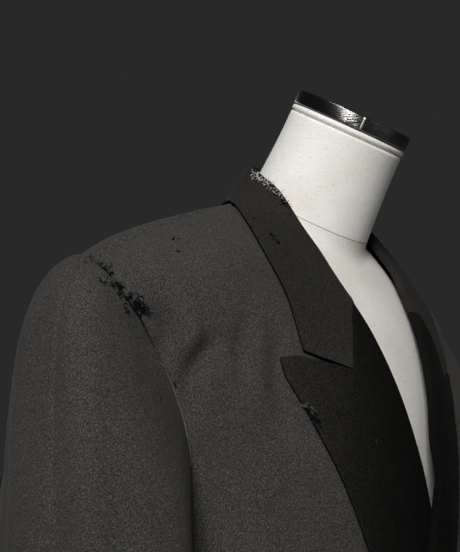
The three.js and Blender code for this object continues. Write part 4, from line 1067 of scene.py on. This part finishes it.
def collar():
    R, L = collar_half(-1), collar_half(1)
    key = np.concatenate([(R[1:] * [-1, 1, 1])[::-1], L])
    P = spline(key, 15, axis=0)
    P = spline(P, 8, axis=1)
    # the leaf's columns, more of them by the corner and the edge
    share = np.linspace(0, 1, 41)
    want = np.unique(np.concatenate([np.linspace(0, 1, 61), 0.4 + np.array([-0.004, 0, 0.004]), [0.99, 0.996]]))
    leaf = np.stack([np.stack([np.interp(want, share, P[i, 32:, k]) for k in range(3)], -1) for i in range(len(P))])
    inner = P[:, :32]
    # close rows at both ends
    def tight(Q):
        a = Q[0] + (Q[1] - Q[0]) * np.array([0.08, 0.25, 0.55])[:, None, None]
        b = Q[-2] + (Q[-1] - Q[-2]) * np.array([0.45, 0.75, 0.92])[:, None, None]
        return np.concatenate([Q[:1], a, Q[1:-1], b, Q[-1:]])
    inner, leaf = tight(inner), tight(leaf)
    rows = len(leaf)
    at = np.concatenate([[0, 0.08, 0.25, 0.55], np.arange(1, rows - 7), [rows - 7 - 0.55, rows - 7 - 0.25, rows - 7 - 0.08, rows - 7]])
    total = at[-1]
    back = (total - at) / 60.0  # rows from the left end, in front rows
    leaf = bend(leaf, want, smooth(1 - back), [(a, b + LEFT_EDGE_OUT, c) for a, b, c in COLLAR_END])
    leaf = bend(leaf[::-1], want, smooth(1 - at[::-1] / 60.0), COLLAR_END)[::-1]
    P = np.concatenate([inner, leaf], axis=1)
    N = grid_normals(P)
    g = outside(JACKET, P[..., 0], P[..., 1], P[..., 2])
    leaf = np.arange(P.shape[1])[None, :] >= 46
    low = np.where(leaf, np.maximum(LEAF_LIFT - 0.5 - g, 0), 0)
    P = P + normal(JACKET, P) * low[..., None]
    N = grid_normals(P)
    mid = P.shape[0] // 2
    if N[mid, -20, 1] < 0:
        N = -N
    dl, dr, db, dt = edge_distance(P)
    front = smooth((np.abs(P[..., 0]) - 60) / 20) * smooth((-20 - P[..., 2]) / 30)
    h = ground(P) * smooth((dl - 30) / 20) * 0.7 + turn_lift(P, 1.5 * LEFT_EDGE_OUT * (P[..., 0] > 0)) * smooth((dl - 6) / 6)
    h += 0.35 * np.sin(P @ np.array([0.05, 0.04, 0.11])) * smooth((dl - 30) / 20)
    soft = soft_edge(P, N, (dr, db, dt), 0.45, 0.9)
    outer = P + N * (h - soft * 0.9 - 0.20 * np.exp(-(((dr - 5.5) / 1.0) ** 2)))[..., None]
    inner = P + N * (h - CLOTH + soft * 0.7)[..., None]
    pit = worn(outer, TEARS["collar"], 2)
    # edge walls in the black painted shade: a painted shadow line along the collar's edge
    ob = shell("visual_collar", outer, inner, [WOOL_COLLAR, SHADE_BLACK], pit=pit, rim=1)
    finish_piece(ob, "wool", "collar")
    CLOTH_OBJECTS.append(ob)
    return outer, N


COLLAR_P, COLLAR_N = collar()


# ------------------------------------------------------------------ sleeves
def sleeve_grid(tau, cap, arm):
    """Points of a left sleeve: rows t 0 to 1 over the cap, then down the arm."""
    a, b = armhole_even(tau), armhole_even(tau + 0.01)
    p, q = surf(JACKET, *station(a)), surf(JACKET, *station(b))
    n = normal(JACKET, p)
    out = -unit(np.cross(unit(q - p), n))
    z, cx, cy, ha, hb = SLEEVE[0]
    E = np.stack([cx + ha * np.cos(2 * np.pi * tau), cy - hb * np.sin(2 * np.pi * tau), np.full(tau.shape, z)], -1)
    T0 = np.stack([table(SLEEVE_START, tau, k) for k in (1, 2, 3)], -1) * 1.3
    below = smooth((0.36 - np.abs(tau - 0.5)) / 0.2)[:, None]
    A = p + out * 0.25 + n * (1.7 * below - 0.5 * (1 - below))
    T1 = np.zeros_like(A)
    T1[:, 2] = -0.95 * np.abs(A[:, 2] - E[:, 2]) - 10
    t = cap[:, None, None]
    P = A * (2 * t**3 - 3 * t**2 + 1) + T0 * (t**3 - 2 * t**2 + t) + E * (-2 * t**3 + 3 * t**2) + T1 * (t**3 - t**2)
    zz = SLEEVE[0][0] + (SLEEVE[-1][0] - SLEEVE[0][0]) * arm[1:]
    c = [table(SLEEVE, zz, k)[:, None] for k in (1, 2, 3, 4)]
    Q = np.stack([c[0] + c[2] * np.cos(2 * np.pi * tau), c[1] - c[3] * np.sin(2 * np.pi * tau), np.broadcast_to(zz[:, None], (len(zz), len(tau)))], -1)
    return np.concatenate([P, Q])


SEAM_F, SEAM_B = 9 / 24, 16 / 24


def sleeves():
    cap = np.unique(np.concatenate([np.linspace(0, 1, 58), np.linspace(0, 0.08, 16)]))
    arm = np.unique(np.concatenate([np.linspace(0, 1, 62), 1 - np.array([0.003, 0.006, 0.01])]))
    tau = np.unique(np.round(np.concatenate([np.linspace(0, 1, 168, endpoint=False), [SEAM_F, SEAM_B], SEAM_F + np.array([-.004, -.002, .002, .004]), SEAM_B + np.array([-.004, -.002, .002, .004])]), 6))
    tau = np.unique(np.round(np.concatenate([tau, np.linspace(0.02, 0.155, 60)]), 6))
    base = sleeve_grid(tau, cap, arm)
    # smooth the join of cap and arm
    k0 = len(cap) - 1
    for _ in range(8):
        sm = base.copy()
        sm[k0 - 6:k0 + 7] = (base[k0 - 7:k0 + 6] + 2 * base[k0 - 6:k0 + 7] + base[k0 - 5:k0 + 8]) / 4
        base = sm
    N = grid_normals(base, closed=True)
    if N[70, 0, 0] < 0:
        N = -N
    down = np.concatenate([cap, 1 + arm[1:]])
    for side, nm in ((-1, "right"), (1, "left")):
        lines = []
        for sd, pts, depth, width in SLEEVE_FOLDS:
            if sd != side:
                continue
            idx = []
            for tt, rr in pts:
                i, j = np.argmin(np.abs(down - rr)), np.argmin(np.abs(tau - tt % 1))
                idx.append(base[i, j] * [side, 1, 1])
            lines.append((spline(np.array(idx), 6), depth, width))
        M = base * [side, 1, 1]
        h = 1.6 * fold_height(M, lines) + waves(M, 1.0, 21 + side)
        drop = np.concatenate([np.zeros((1, base.shape[1])), np.cumsum(np.linalg.norm(np.diff(base, axis=0), axis=-1), axis=0)])
        hemd = drop[-1:] - drop
        h = h * smooth(drop / 14)
        # the head of the sleeve stands up from the seam over its padding
        head = smooth((0.30 - np.minimum(tau, 1 - tau)) / 0.14)
        h += 1.3 * head * np.exp(-(((drop - 7) / 6.0) ** 2))
        fore = smooth((tau - 0.10) / 0.05) * smooth((0.62 - tau) / 0.1)
        h -= 0.9 * fore * np.exp(-((drop / 1.6) ** 2))
        h -= 0.5 * np.exp(-((hemd / 1.2) ** 2))
        h -= 0.15 * np.exp(-(((hemd - 32) / 2.0) ** 2))
        for seam in (SEAM_F, SEAM_B):
            across = np.linalg.norm(base - base[:, [int(np.argmin(np.abs(tau - seam)))]], axis=-1)
            h -= 0.42 * np.exp(-((across / 0.85) ** 2))
        back = 0.5 * np.exp(-((hemd / 1.2) ** 2))
        outer = (base + N * h[..., None]) * [side, 1, 1]
        inner = (base + N * (h - CLOTH + back)[..., None]) * [side, 1, 1]
        jf, jb = int(np.argmin(np.abs(tau - SEAM_F))), int(np.argmin(np.abs(tau - SEAM_B)))
        n = len(tau)
        for part, cols in (("top", list(range(jb, n)) + list(range(0, jf + 1))), ("under", list(range(jf, jb + 1)))):
            o, i = outer[:, cols].copy(), inner[:, cols].copy()
            for g in (o, i):
                g[:, 0] += unit(g[:, 1] - g[:, 0]) * 0.12
                g[:, -1] += unit(g[:, -2] - g[:, -1]) * 0.12
            pit = None
            if part == "top" and side < 0:
                pit = worn(o, TEARS["seam"] + [(-222, -42, -169, 0.9)], 5)
            elif part == "top":
                pit = worn(o, [(238, -10, -96, 2.2)], 9)
            ob = shell(f"visual_sleeve_{part}_{nm}", o, i, CLOTHS, pit=pit)
            finish_piece(ob, "wool", f"sleeve_{part}_{nm}")
            CLOTH_OBJECTS.append(ob)
        if side < 0:
            keepP, keepN = outer, N * [side, 1, 1]
    return keepP, keepN, tau, down


SLEEVE_P, SLEEVE_N, SLEEVE_TAU, SLEEVE_DOWN = sleeves()


# ------------------------------------------------------------------ the form
NECK_DIR = np.array([0, -math.sin(NECK_TILT), math.cos(NECK_TILT)])
NECK_FRONT = np.array([0, -math.cos(NECK_TILT), -math.sin(NECK_TILT)])


def neck_at(l, r, a):
    l, r, a = np.broadcast_arrays(np.asarray(l, float), np.asarray(r, float), np.asarray(a, float))
    return l[..., None] * NECK_DIR + (r * np.sin(a))[..., None] * np.array([1.0, 0, 0]) + (r * np.cos(a))[..., None] * NECK_FRONT


def on_neck(r, l, a):
    return neck_at(l, r, a)


def form():
    n = 144
    a = np.linspace(0, 2 * np.pi, n, endpoint=False)
    l0 = bisect(lambda m: outside(FORM, *np.moveaxis(neck_at(m, table(NECK, m, 1) + 0.8, a), -1, 0)), -70, 70, a.shape)
    foot = neck_at(l0, table(NECK, l0, 1) + 0.8, a)
    th, s = station(foot)
    v = np.concatenate([np.linspace(0, 0.9, 70), np.linspace(0.9, 1, 60)[1:]])
    torso = surf(FORM, th[None, :], FORM_BOTTOM + (s[None, :] - FORM_BOTTOM) * v[:, None])
    seg = np.linalg.norm(np.diff(torso, axis=0), axis=-1)
    left = np.concatenate([np.cumsum(seg[::-1], axis=0)[::-1], np.zeros((1, n))])  # distance still to go to the foot
    R = 10.0
    rows = []
    vmax = np.array([np.interp(-R, -left[:, j], v) for j in range(n)])
    for w in np.linspace(0, 1, 96):
        rows.append(surf(FORM, th, FORM_BOTTOM + (s - FORM_BOTTOM) * vmax * w))
    A = rows[-1]
    B = neck_at(l0 + R, table(NECK, l0 + R, 1) + 0.5, a)
    for t in np.concatenate([np.linspace(0.06, 0.44, 8), [0.47, 0.485, 0.5, 0.515, 0.53], np.linspace(0.56, 0.94, 8)]):
        p = (1 - t) ** 2 * A + 2 * t * (1 - t) * foot + t * t * B
        rows.append(p)
    top = NECK_LENGTH - 7
    for w in np.linspace(0, 1, 34):
        m = (l0 + R) + (top - l0 - R) * w
        rows.append(neck_at(m, table(NECK, m, 1) + 0.5 * (1 - w) + 0.5 * smooth((w - 0.8) / 0.2), a))
    P = np.array(rows)
    # the neck seam: its own line round the foot of the neck, sunk a little
    along = P @ NECK_DIR
    target = 7.0 - 2.0 * np.cos(a) * (np.cos(a) > 0)
    seam = []
    for j in range(n):
        low = 100
        seam.append([np.interp(target[j], along[low:, j], P[low:, j, k]) for k in range(3)])
    seam = np.array(seam)
    m = len(P)
    V = P.reshape(-1, 3)
    faces = [[i * n + j, i * n + (j + 1) % n, (i + 1) * n + (j + 1) % n, (i + 1) * n + j] for i in range(m - 1) for j in range(n)]
    # closed at the bottom with a soft edge, and at the top under the cap
    for base, sign, turn in ((0, -1, True), (m - 1, 1, False)):
        ring = P[base]
        c = ring.mean(0)
        last = base * n
        for k in (0.96, 0.8, 0.5):
            r2 = c + (ring - c) * k
            if base == 0 and k == 0.96:
                r2 = r2 + [0, 0, 0]
            at = len(V)
            V = np.concatenate([V, r2])
            for j in range(n):
                q = [last + j, last + (j + 1) % n, at + (j + 1) % n, at + j]
                faces.append(q[::-1] if turn else q)
            last = at
        at = len(V)
        V = np.concatenate([V, c[None]])
        for j in range(n):
            q = [last + j, last + (j + 1) % n, at]
            faces.append(q[::-1] if turn else q)
    c = np.array([V[f].mean(0) for f in faces])
    ang = np.arctan2(c[:, 0], c @ NECK_FRONT)
    low = (c @ NECK_DIR) < 7.0 - 2.0 * np.cos(ang) * (np.cos(ang) > 0)
    ob = new_object("visual_form", V, faces, [LINEN, LINEN_LOW], low.astype(int))
    finish_piece(ob, "linen", "form_body")
    ring = np.concatenate([seam, seam[:1]])
    out = unit(ring - (ring @ NECK_DIR)[:, None] * NECK_DIR)
    finish_piece(tubes("neck_seam", [(ring + out * 0.02, 1.0, 0)], [SEAM_GREY], 0.28, 6), "linen")
    return ob


form()
t = np.linspace(-math.pi / 2, math.pi / 2, 11)
bead = [(47.0, NECK_LENGTH - 6.6), (52.0, NECK_LENGTH - 6.6)] + [(52.4 + 1.7 * math.cos(x), NECK_LENGTH - 3.6 + 2.4 * math.sin(x)) for x in t] + [(52.0, NECK_LENGTH - 0.6), (47.0, NECK_LENGTH - 0.6), (47.0, NECK_LENGTH - 6.6)]
finish_piece(lathe("visual_rim", bead, [LINEN], 128, on_neck), "linen", "neck_rim")
r, z0, z1 = 54.2, NECK_LENGTH, NECK_LENGTH + CAP_HEIGHT
cap = [(0.01, z0), (r - 1.2, z0), (r - 0.5, z0 + 0.15), (r - 0.1, z0 + 0.6), (r, z0 + 1.2), (r, z1 - 1.1), (r - 0.15, z1 - 0.5), (r - 0.6, z1 - 0.1), (r - 1.2, z1), (r - 2.4, z1), (r - 2.9, z1 - 0.25), (r - 3.1, z1 - 0.9), (r - 3.4, z1 - 1.5), (r - 4.2, z1 - 1.7), (30, z1 - 1.5), (0.01, z1 - 1.35)]
finish_piece(lathe("visual_cap", cap, [STEEL], 160, on_neck), "cap_steel", "neck_cap")
# the butt joint of the band, a raised line up its side, its near-white steel a painted highlight
JOINT = math.radians(-44)
ja = np.array([-0.020, -0.015, 0.015, 0.020]) + JOINT
jl = np.linspace(z0 + 0.8, z1 - 0.6, 8)
jr = np.array([r - 0.05, r + 0.35, r + 0.35, r - 0.05])
JP = neck_at(jl[:, None], jr[None, :], ja[None, :])
JI = neck_at(jl[:, None], jr[None, :] * 0 + r - 0.6, ja[None, :])
# near-white steel: a painted highlight along the joint
JOINT_GLINT = brushed("joint_steel_painted_glint", (0.88, 0.87, 0.85), 0.42)
finish_piece(shell("visual_cap_joint", JP, JI, [JOINT_GLINT, JOINT_GLINT]), "cap_steel")

# ------------------------------------------------------------------ stand
pl = [(0.01, 0), (166, 0), (168.5, 0.6), (170, 2.2), (170, 8.5), (169.2, 10.4), (167.4, 11.6), (165.2, 12), (70, 12), (0.01, 12)]
finish_piece(lathe("visual_base", [(a, b - NECK_Z) for a, b in pl], [PLATE], 160), "stand_metal", "base")
top = NECK_Z + FORM_BOTTOM - 0.4
po = [(0.01, 12.3), (23.4, 12.3), (24, 13), (24, 17.6), (23.2, 19.2), (20, 22), (17.2, 24.4), (16, 27), (16, top - 22), (18.6, top - 20), (19.2, top - 18), (19.2, top - 4), (18.6, top - 2), (16, top - 1), (16, top), (0.01, top)]
finish_piece(lathe("visual_post", [(a, b - NECK_Z) for a, b in po], [POST], 72), "stand_metal", "post")


# ------------------------------------------------------------------ buttons
def button(i, s, z):
    """A four-hole button with a raised rim, sewn on with thread."""
    x = s * 48.0
    p = front_point(JACKET, x, z)
    n = normal(JACKET, p)
    lift = float(over_lift(p) + ground(p)) + 0.15
    o = p + n * lift
    up = unit(np.array([0, 0, 1.0]) - n * n[2])
    ac = np.cross(up, n)
    holes = [(math.cos(q) * 2.3, math.sin(q) * 2.3) for q in (0.785, 2.356, 3.927, 5.498)]
    # the dish, raised rim and underside, as rings round the flat middle
    prof = [(6.6, 1.5), (7.2, 2.1), (8.0, 2.75), (8.8, 3.0), (9.5, 2.75), (9.9, 2.1), (9.9, 1.1), (9.3, 0.35), (8.0, 0.0), (0.01, 0.0)]
    seg = 64
    a = np.linspace(0, 2 * np.pi, seg, endpoint=False)
    V, F = [], []
    for r_, h_ in prof:
        V += [[r_ * math.cos(q), r_ * math.sin(q), h_] for q in a]
    for k in range(len(prof) - 1):
        for j in range(seg):
            F.append([k * seg + j, k * seg + (j + 1) % seg, (k + 1) * seg + (j + 1) % seg, (k + 1) * seg + j])
    # middle disc by a fine square grid, cut round at the dish and sunk at the four holes
    m = 33
    g = np.linspace(-6.6, 6.6, m)
    gx, gy = np.meshgrid(g, g, indexing="ij")
    rr = np.hypot(gx, gy)
    sq = np.maximum(np.abs(gx), np.abs(gy))
    scale = np.where(rr > 1e-6, sq / np.maximum(rr, 1e-6), 1.0)
    gx, gy = gx * scale, gy * scale
    depth = np.full(gx.shape, 1.5)
    for hx, hy in holes:
        d = np.hypot(gx - hx, gy - hy)
        depth = np.where(d < 0.95, 0.35, np.where(d < 1.15, 1.2, depth))
    at = len(V)
    V += np.stack([gx, gy, depth], -1).reshape(-1, 3).tolist()
    for u in range(m - 1):
        for w in range(m - 1):
            F.append([at + u * m + w, at + (u + 1) * m + w, at + (u + 1) * m + w + 1, at + u * m + w + 1])
    V = np.array(V)
    W = o + V[:, :1] * ac + V[:, 1:2] * up + V[:, 2:] * n
    ob = new_object(f"visual_button_{i}", W, F, [HORN])
    finish_piece(ob, "button", f"button_{i}")
    paths = []
    for (h1, h2) in ((0, 2), (1, 3)):
        for off in (-0.22, 0.0, 0.22):
            c0, c1 = np.array(holes[h1]), np.array(holes[h2])
            side = np.array([-(c1 - c0)[1], (c1 - c0)[0]]) / np.linalg.norm(c1 - c0) * off
            pts = [(*(c0 + side), 0.7), (*(c0 + side), 1.6), (*((c0 + c1) / 2 + side), 2.0 + 0.2 * h1), (*(c1 + side), 1.6), (*(c1 + side), 0.7)]
            q = np.array(pts)
            paths.append((spline(o + q[:, :1] * ac + q[:, 1:2] * up + q[:, 2:] * n, 3), 1.0, 0))
    ob2 = tubes(f"button_thread_{i}", paths, [THREAD_DARK], 0.28)
    finish_piece(ob2, "wool")
    return o, n, up, ac


BUTTONS = [button(i + 1, s, z) for i, (s, z) in enumerate([(-1, -506), (1, -506), (-1, -612), (1, -612)])]
# keyhole buttonholes of the left front, under the outer row
paths = []
for o, n, up, ac in (BUTTONS[0], BUTTONS[2]):
    for k in range(46):
        u = -11.5 + 23.0 * k / 45
        for v in (-1, 1):
            w = 0.45 * v
            e = 1.9 * v
            base = o - n * 0.05
            paths.append((np.array([base + ac * u + up * w + n * 0.0, base + ac * (u + 0.1) + up * (w + e) / 2 + n * 0.28, base + ac * (u + 0.15) + up * e - n * 0.1]), 1.0, 0))
finish_piece(tubes("buttonhole_stitches", paths, [THREAD_DARK], 0.24), "wool")


# ------------------------------------------------------------------ frayed threads
def fray(spots, P, N, count, length, seed, pale=0.2, stand=0.8, dark_index=0, pale_index=1):
    """Loose threads that start at worn spots and curl over the cloth. P and N are the cloth's grid and normals."""
    r = np.random.default_rng(seed)
    flatP, flatN = P.reshape(-1, 3), N.reshape(-1, 3)
    out = []
    for spot in spots:
        c, size = np.array(spot[:3], float), spot[3]
        d = np.linalg.norm(flatP - c, axis=1)
        if d.min() > 9:
            continue
        c = flatP[int(np.argmin(d))]
        d = np.linalg.norm(flatP - c, axis=1)
        near = np.where(d < size * 1.15 + 0.4)[0]
        for _ in range(max(2, int(round(count * size)))):
            i = r.choice(near)
            p, n = flatP[i], flatN[i]
            away = p - c
            away = away - n * (away @ n)
            v = unit(unit(away) * 0.7 + r.normal(size=3) * 0.8)
            v = unit(v - n * (v @ n))
            L = length * r.uniform(0.35, 1.3) * (0.6 + size / 5)
            steps = 9
            q, pts = p + n * 0.1, []
            curl = r.normal() * 0.55
            for k in range(steps):
                pts.append(q.copy())
                side = np.cross(n, v)
                v = unit(v + side * (curl + r.normal() * 0.3))
                q = q + v * L / (steps - 1) + n * (stand * math.sin(math.pi * (k + 0.5) / steps) * r.uniform(0.05, 0.4) - 0.04)
            out.append((np.array(pts), r.uniform(0.6, 1.4), pale_index if r.random() < pale else dark_index))
    return out


seam_spots = TEARS["seam"]
FRONT_N = normal(JACKET, FRONT_R * [-1, 1, 1]) * [-1, 1, 1]
paths = fray(seam_spots, SLEEVE_P[:26], SLEEVE_N[:26], 4.4, 5.0, 4, pale=0.1)
paths += fray(seam_spots, FRONT_R[-180:], FRONT_N[-180:], 4.4, 5.0, 5, pale=0.1)
paths += fray([(-250, 4, -76, 1.3), (-254, 10, -77, 0.9), (-246, 14, -70, 1.2), (-265.7, -9.2, -99.7, 0.8)], SLEEVE_P[:44], SLEEVE_N[:44], 3, 4.5, 6, pale=0.1)
paths += fray([(-227.4, -17.6, -102, 2.5), (-223, -20.5, -107.3, 2.0)], FRONT_R[-180:], FRONT_N[-180:], 5.0, 8.5, 9, pale=0.0, stand=1.0)
paths += fray([(-238, -18, -108, 1.6)], SLEEVE_P[:44], SLEEVE_N[:44], 5, 7.5, 10, pale=0.0)
paths += fray([(-249, -9.3, -91.6, 1.6)], SLEEVE_P[:44], SLEEVE_N[:44], 4, 3.4, 16, pale=0.6)
paths += fray([(-244.5, 3.5, -78, 2.0), (-241.5, 0, -81, 2.2)], SLEEVE_P[:44], SLEEVE_N[:44], 6, 6.5, 21, pale=0.05, stand=1.0)
paths += fray([(-253.8, -7.2, -89.9, 1.5), (-249.4, -8.6, -90.8, 2.0), (-245.2, -10.3, -93.2, 1.6)], SLEEVE_P[:44], SLEEVE_N[:44], 5, 5.0, 22, pale=0.15)
paths += fray([(-241.5, -12.8, -97.7, 2.0), (-236.5, -13.8, -100.7, 1.8)], SLEEVE_P[:44], SLEEVE_N[:44], 5, 6.0, 23, pale=0.0, stand=1.0)
paths += fray(TEARS["front"][:3], FRONT_R[-180:], FRONT_N[-180:], 2.5, 2.6, 7, pale=0.1)
finish_piece(tubes("fray_sleeve_head", paths, [THREAD_DARK, THREAD_GREY], 0.21), "wool")

# along the neck edge of the collar: white threads first, then dark ones
r = np.random.default_rng(12)
EDGE = np.array([(-60, 15, 33), (-65, 5, 26), (-67, -4, 20), (-70, -13, 11.5), (-71, -20, 6), (-70, -27, -2)], float)
line = spline(EDGE, 10)
flatP, flatN = COLLAR_P.reshape(-1, 3), COLLAR_N.reshape(-1, 3)
paths = []
for k in range(150):
    u = r.uniform(0, 1)
    c = line[int(u * (len(line) - 1))]
    i = int(np.argmin(np.linalg.norm(flatP - c - r.normal(size=3) * 1.6, axis=1)))
    p, n = flatP[i], flatN[i]
    along = unit(line[min(int(u * (len(line) - 1)) + 1, len(line) - 1)] - line[max(int(u * (len(line) - 1)) - 1, 0)])
    inward = np.array([1.0, 0.1, 0.0])
    v = unit(along * r.normal() * 0.8 + inward * r.uniform(-0.6, 1.0) + np.array([0, 0, 1]) * r.uniform(-0.6, 0.7))
    L = r.uniform(2.5, 7.5)
    q, pts = p + n * 0.2, []
    w = r.normal(size=3) * 0.5
    for s in range(7):
        pts.append(q.copy())
        v = unit(v + w * 0.45 + r.normal(size=3) * 0.25)
        v = v - n * min(0, v @ n)
        q = q + v * L / 6
    white = r.random() < (0.75 if u < 0.62 else 0.25)
    paths.append((np.array(pts), r.uniform(0.7, 1.2), 1 if white else 0))
for k in range(14):  # a few longer dark ends at the lower end of the fray
    c = line[-1 - r.integers(0, 8)]
    q, pts = c.copy(), []
    v = unit(np.array([0.6, -0.5, 0.4]) + r.normal(size=3) * 0.6)
    for s in range(7):
        pts.append(q.copy())
        v = unit(v + r.normal(size=3) * 0.3)
        q = q + v * r.uniform(0.8, 1.7)
    paths.append((np.array(pts), 0.9, 0))
paths += fray(TEARS["collar"], COLLAR_P, COLLAR_N, 4, 2.4, 14, pale=0.0, stand=0.5)
finish_piece(tubes("fray_collar", paths, [THREAD_DARK, THREAD_PALE], 0.2), "wool")
# outer edge of the right lapel below the peak
paths = fray(TEARS["lapel"], LAPEL_R, LAPEL_RN * [-1, 1, 1], 7, 4.2, 15, pale=0.12)
paths += fray([(-119.5, -86.8, -168.5, 1.5), (-113.5, -89.3, -169.0, 1.4)], LAPEL_R, LAPEL_RN * [-1, 1, 1], 8, 4.2, 18, pale=0.45)
paths += fray([(-61, -112, -193, 0.8)], LAPEL_R, LAPEL_RN * [-1, 1, 1], 3, 2.4, 17, pale=0.6)
finish_piece(tubes("fray_lapel", paths, [THREAD_DARK, THREAD_GREY], 0.21), "wool")

# ------------------------------------------------------------------ sheets
# width and length of the cloth that each piece is cut from, in metres
CUT = {"front": (0.34, 0.78), "side": (0.13, 0.52), "back": (0.29, 0.78), "lapel": (0.13, 0.40), "collar": (0.11, 0.46), "sleeve_top": (0.32, 0.64), "sleeve_under": (0.16, 0.49)}
for ob in CLOTH_OBJECTS:
    w, l = CUT[ob.name.replace("visual_", "").replace("_right", "").replace("_left", "")]

# ------------------------------------------------------------------ studio
bpy.ops.mesh.primitive_plane_add(size=12, location=(0, 0, 0))
floor = bpy.context.object
floor.name = "floor"
floor.data.materials.append(plain("floor", (0.50, 0.495, 0.485), 0.9, noise=0.01, scale=4))
world = bpy.data.worlds.new("studio")
bpy.context.scene.world = world
world.use_nodes = True
bg = world.node_tree.nodes["Background"]
bg.inputs["Color"].default_value = (0.5, 0.5, 0.51, 1)
bg.inputs["Strength"].default_value = 0.045


def area_light(name, azimuth, elevation, distance, size, watts, aim=(0, 0, 0.62), colour=(1, 1, 1), spread=180):
    a, e = math.radians(azimuth), math.radians(elevation)
    d = Vector((math.sin(a) * math.cos(e), -math.cos(a) * math.cos(e), math.sin(e)))
    li = bpy.data.lights.new(name, "AREA")
    li.shape = "RECTANGLE"
    li.size, li.size_y = size
    li.energy = watts
    li.color = colour
    li.spread = math.radians(spread)
    ob = bpy.data.objects.new(name, li)
    ob.location = Vector(aim) + d * distance
    ob.rotation_euler = d.to_track_quat("Z", "Y").to_euler()
    bpy.context.scene.collection.objects.link(ob)
    return ob


area_light("key", -61, 26, 2.6, (0.95, 1.05), 8.4, aim=(0, 0, 0.74), colour=(1.0, 0.992, 0.98), spread=55)
area_light("fill", 5, 12, 3.4, (2.4, 2.0), 5)
area_light("back", 150, 10, 3.4, (2.4, 2.0), 14)

# ------------------------------------------------------------------ camera
az, el, roll = math.radians(-50.17), math.radians(-7.96), math.radians(2.23)
REACH, FOCAL = 850.0, 929.2
d = np.array([math.sin(az) * math.cos(el), -math.cos(az) * math.cos(el), math.sin(el)])
R0 = np.array([math.cos(az), math.sin(az), 0.0])
U0 = np.cross(d, R0)
Rt, Up = math.cos(roll) * R0 + math.sin(roll) * U0, -math.sin(roll) * R0 + math.cos(roll) * U0
x0, y0 = (306.25 - 230) / FOCAL * REACH, -(220.9 - 276) / FOCAL * REACH
eye = (np.array([0, 0, NECK_Z]) + REACH * d - x0 * Rt - y0 * Up) / 1000
cam = bpy.data.cameras.new("camera")
cam.sensor_fit = "VERTICAL"
cam.sensor_height = 36.0
cam.lens = FOCAL / 552 * 36.0
cam.clip_start = 0.01
co = bpy.data.objects.new("camera", cam)
m = Matrix([[Rt[i], Up[i], d[i], eye[i]] for i in range(3)] + [[0, 0, 0, 1]])
co.matrix_world = m
bpy.context.scene.collection.objects.link(co)
bpy.context.scene.camera = co
bpy.context.scene.view_settings.view_transform = "Standard"
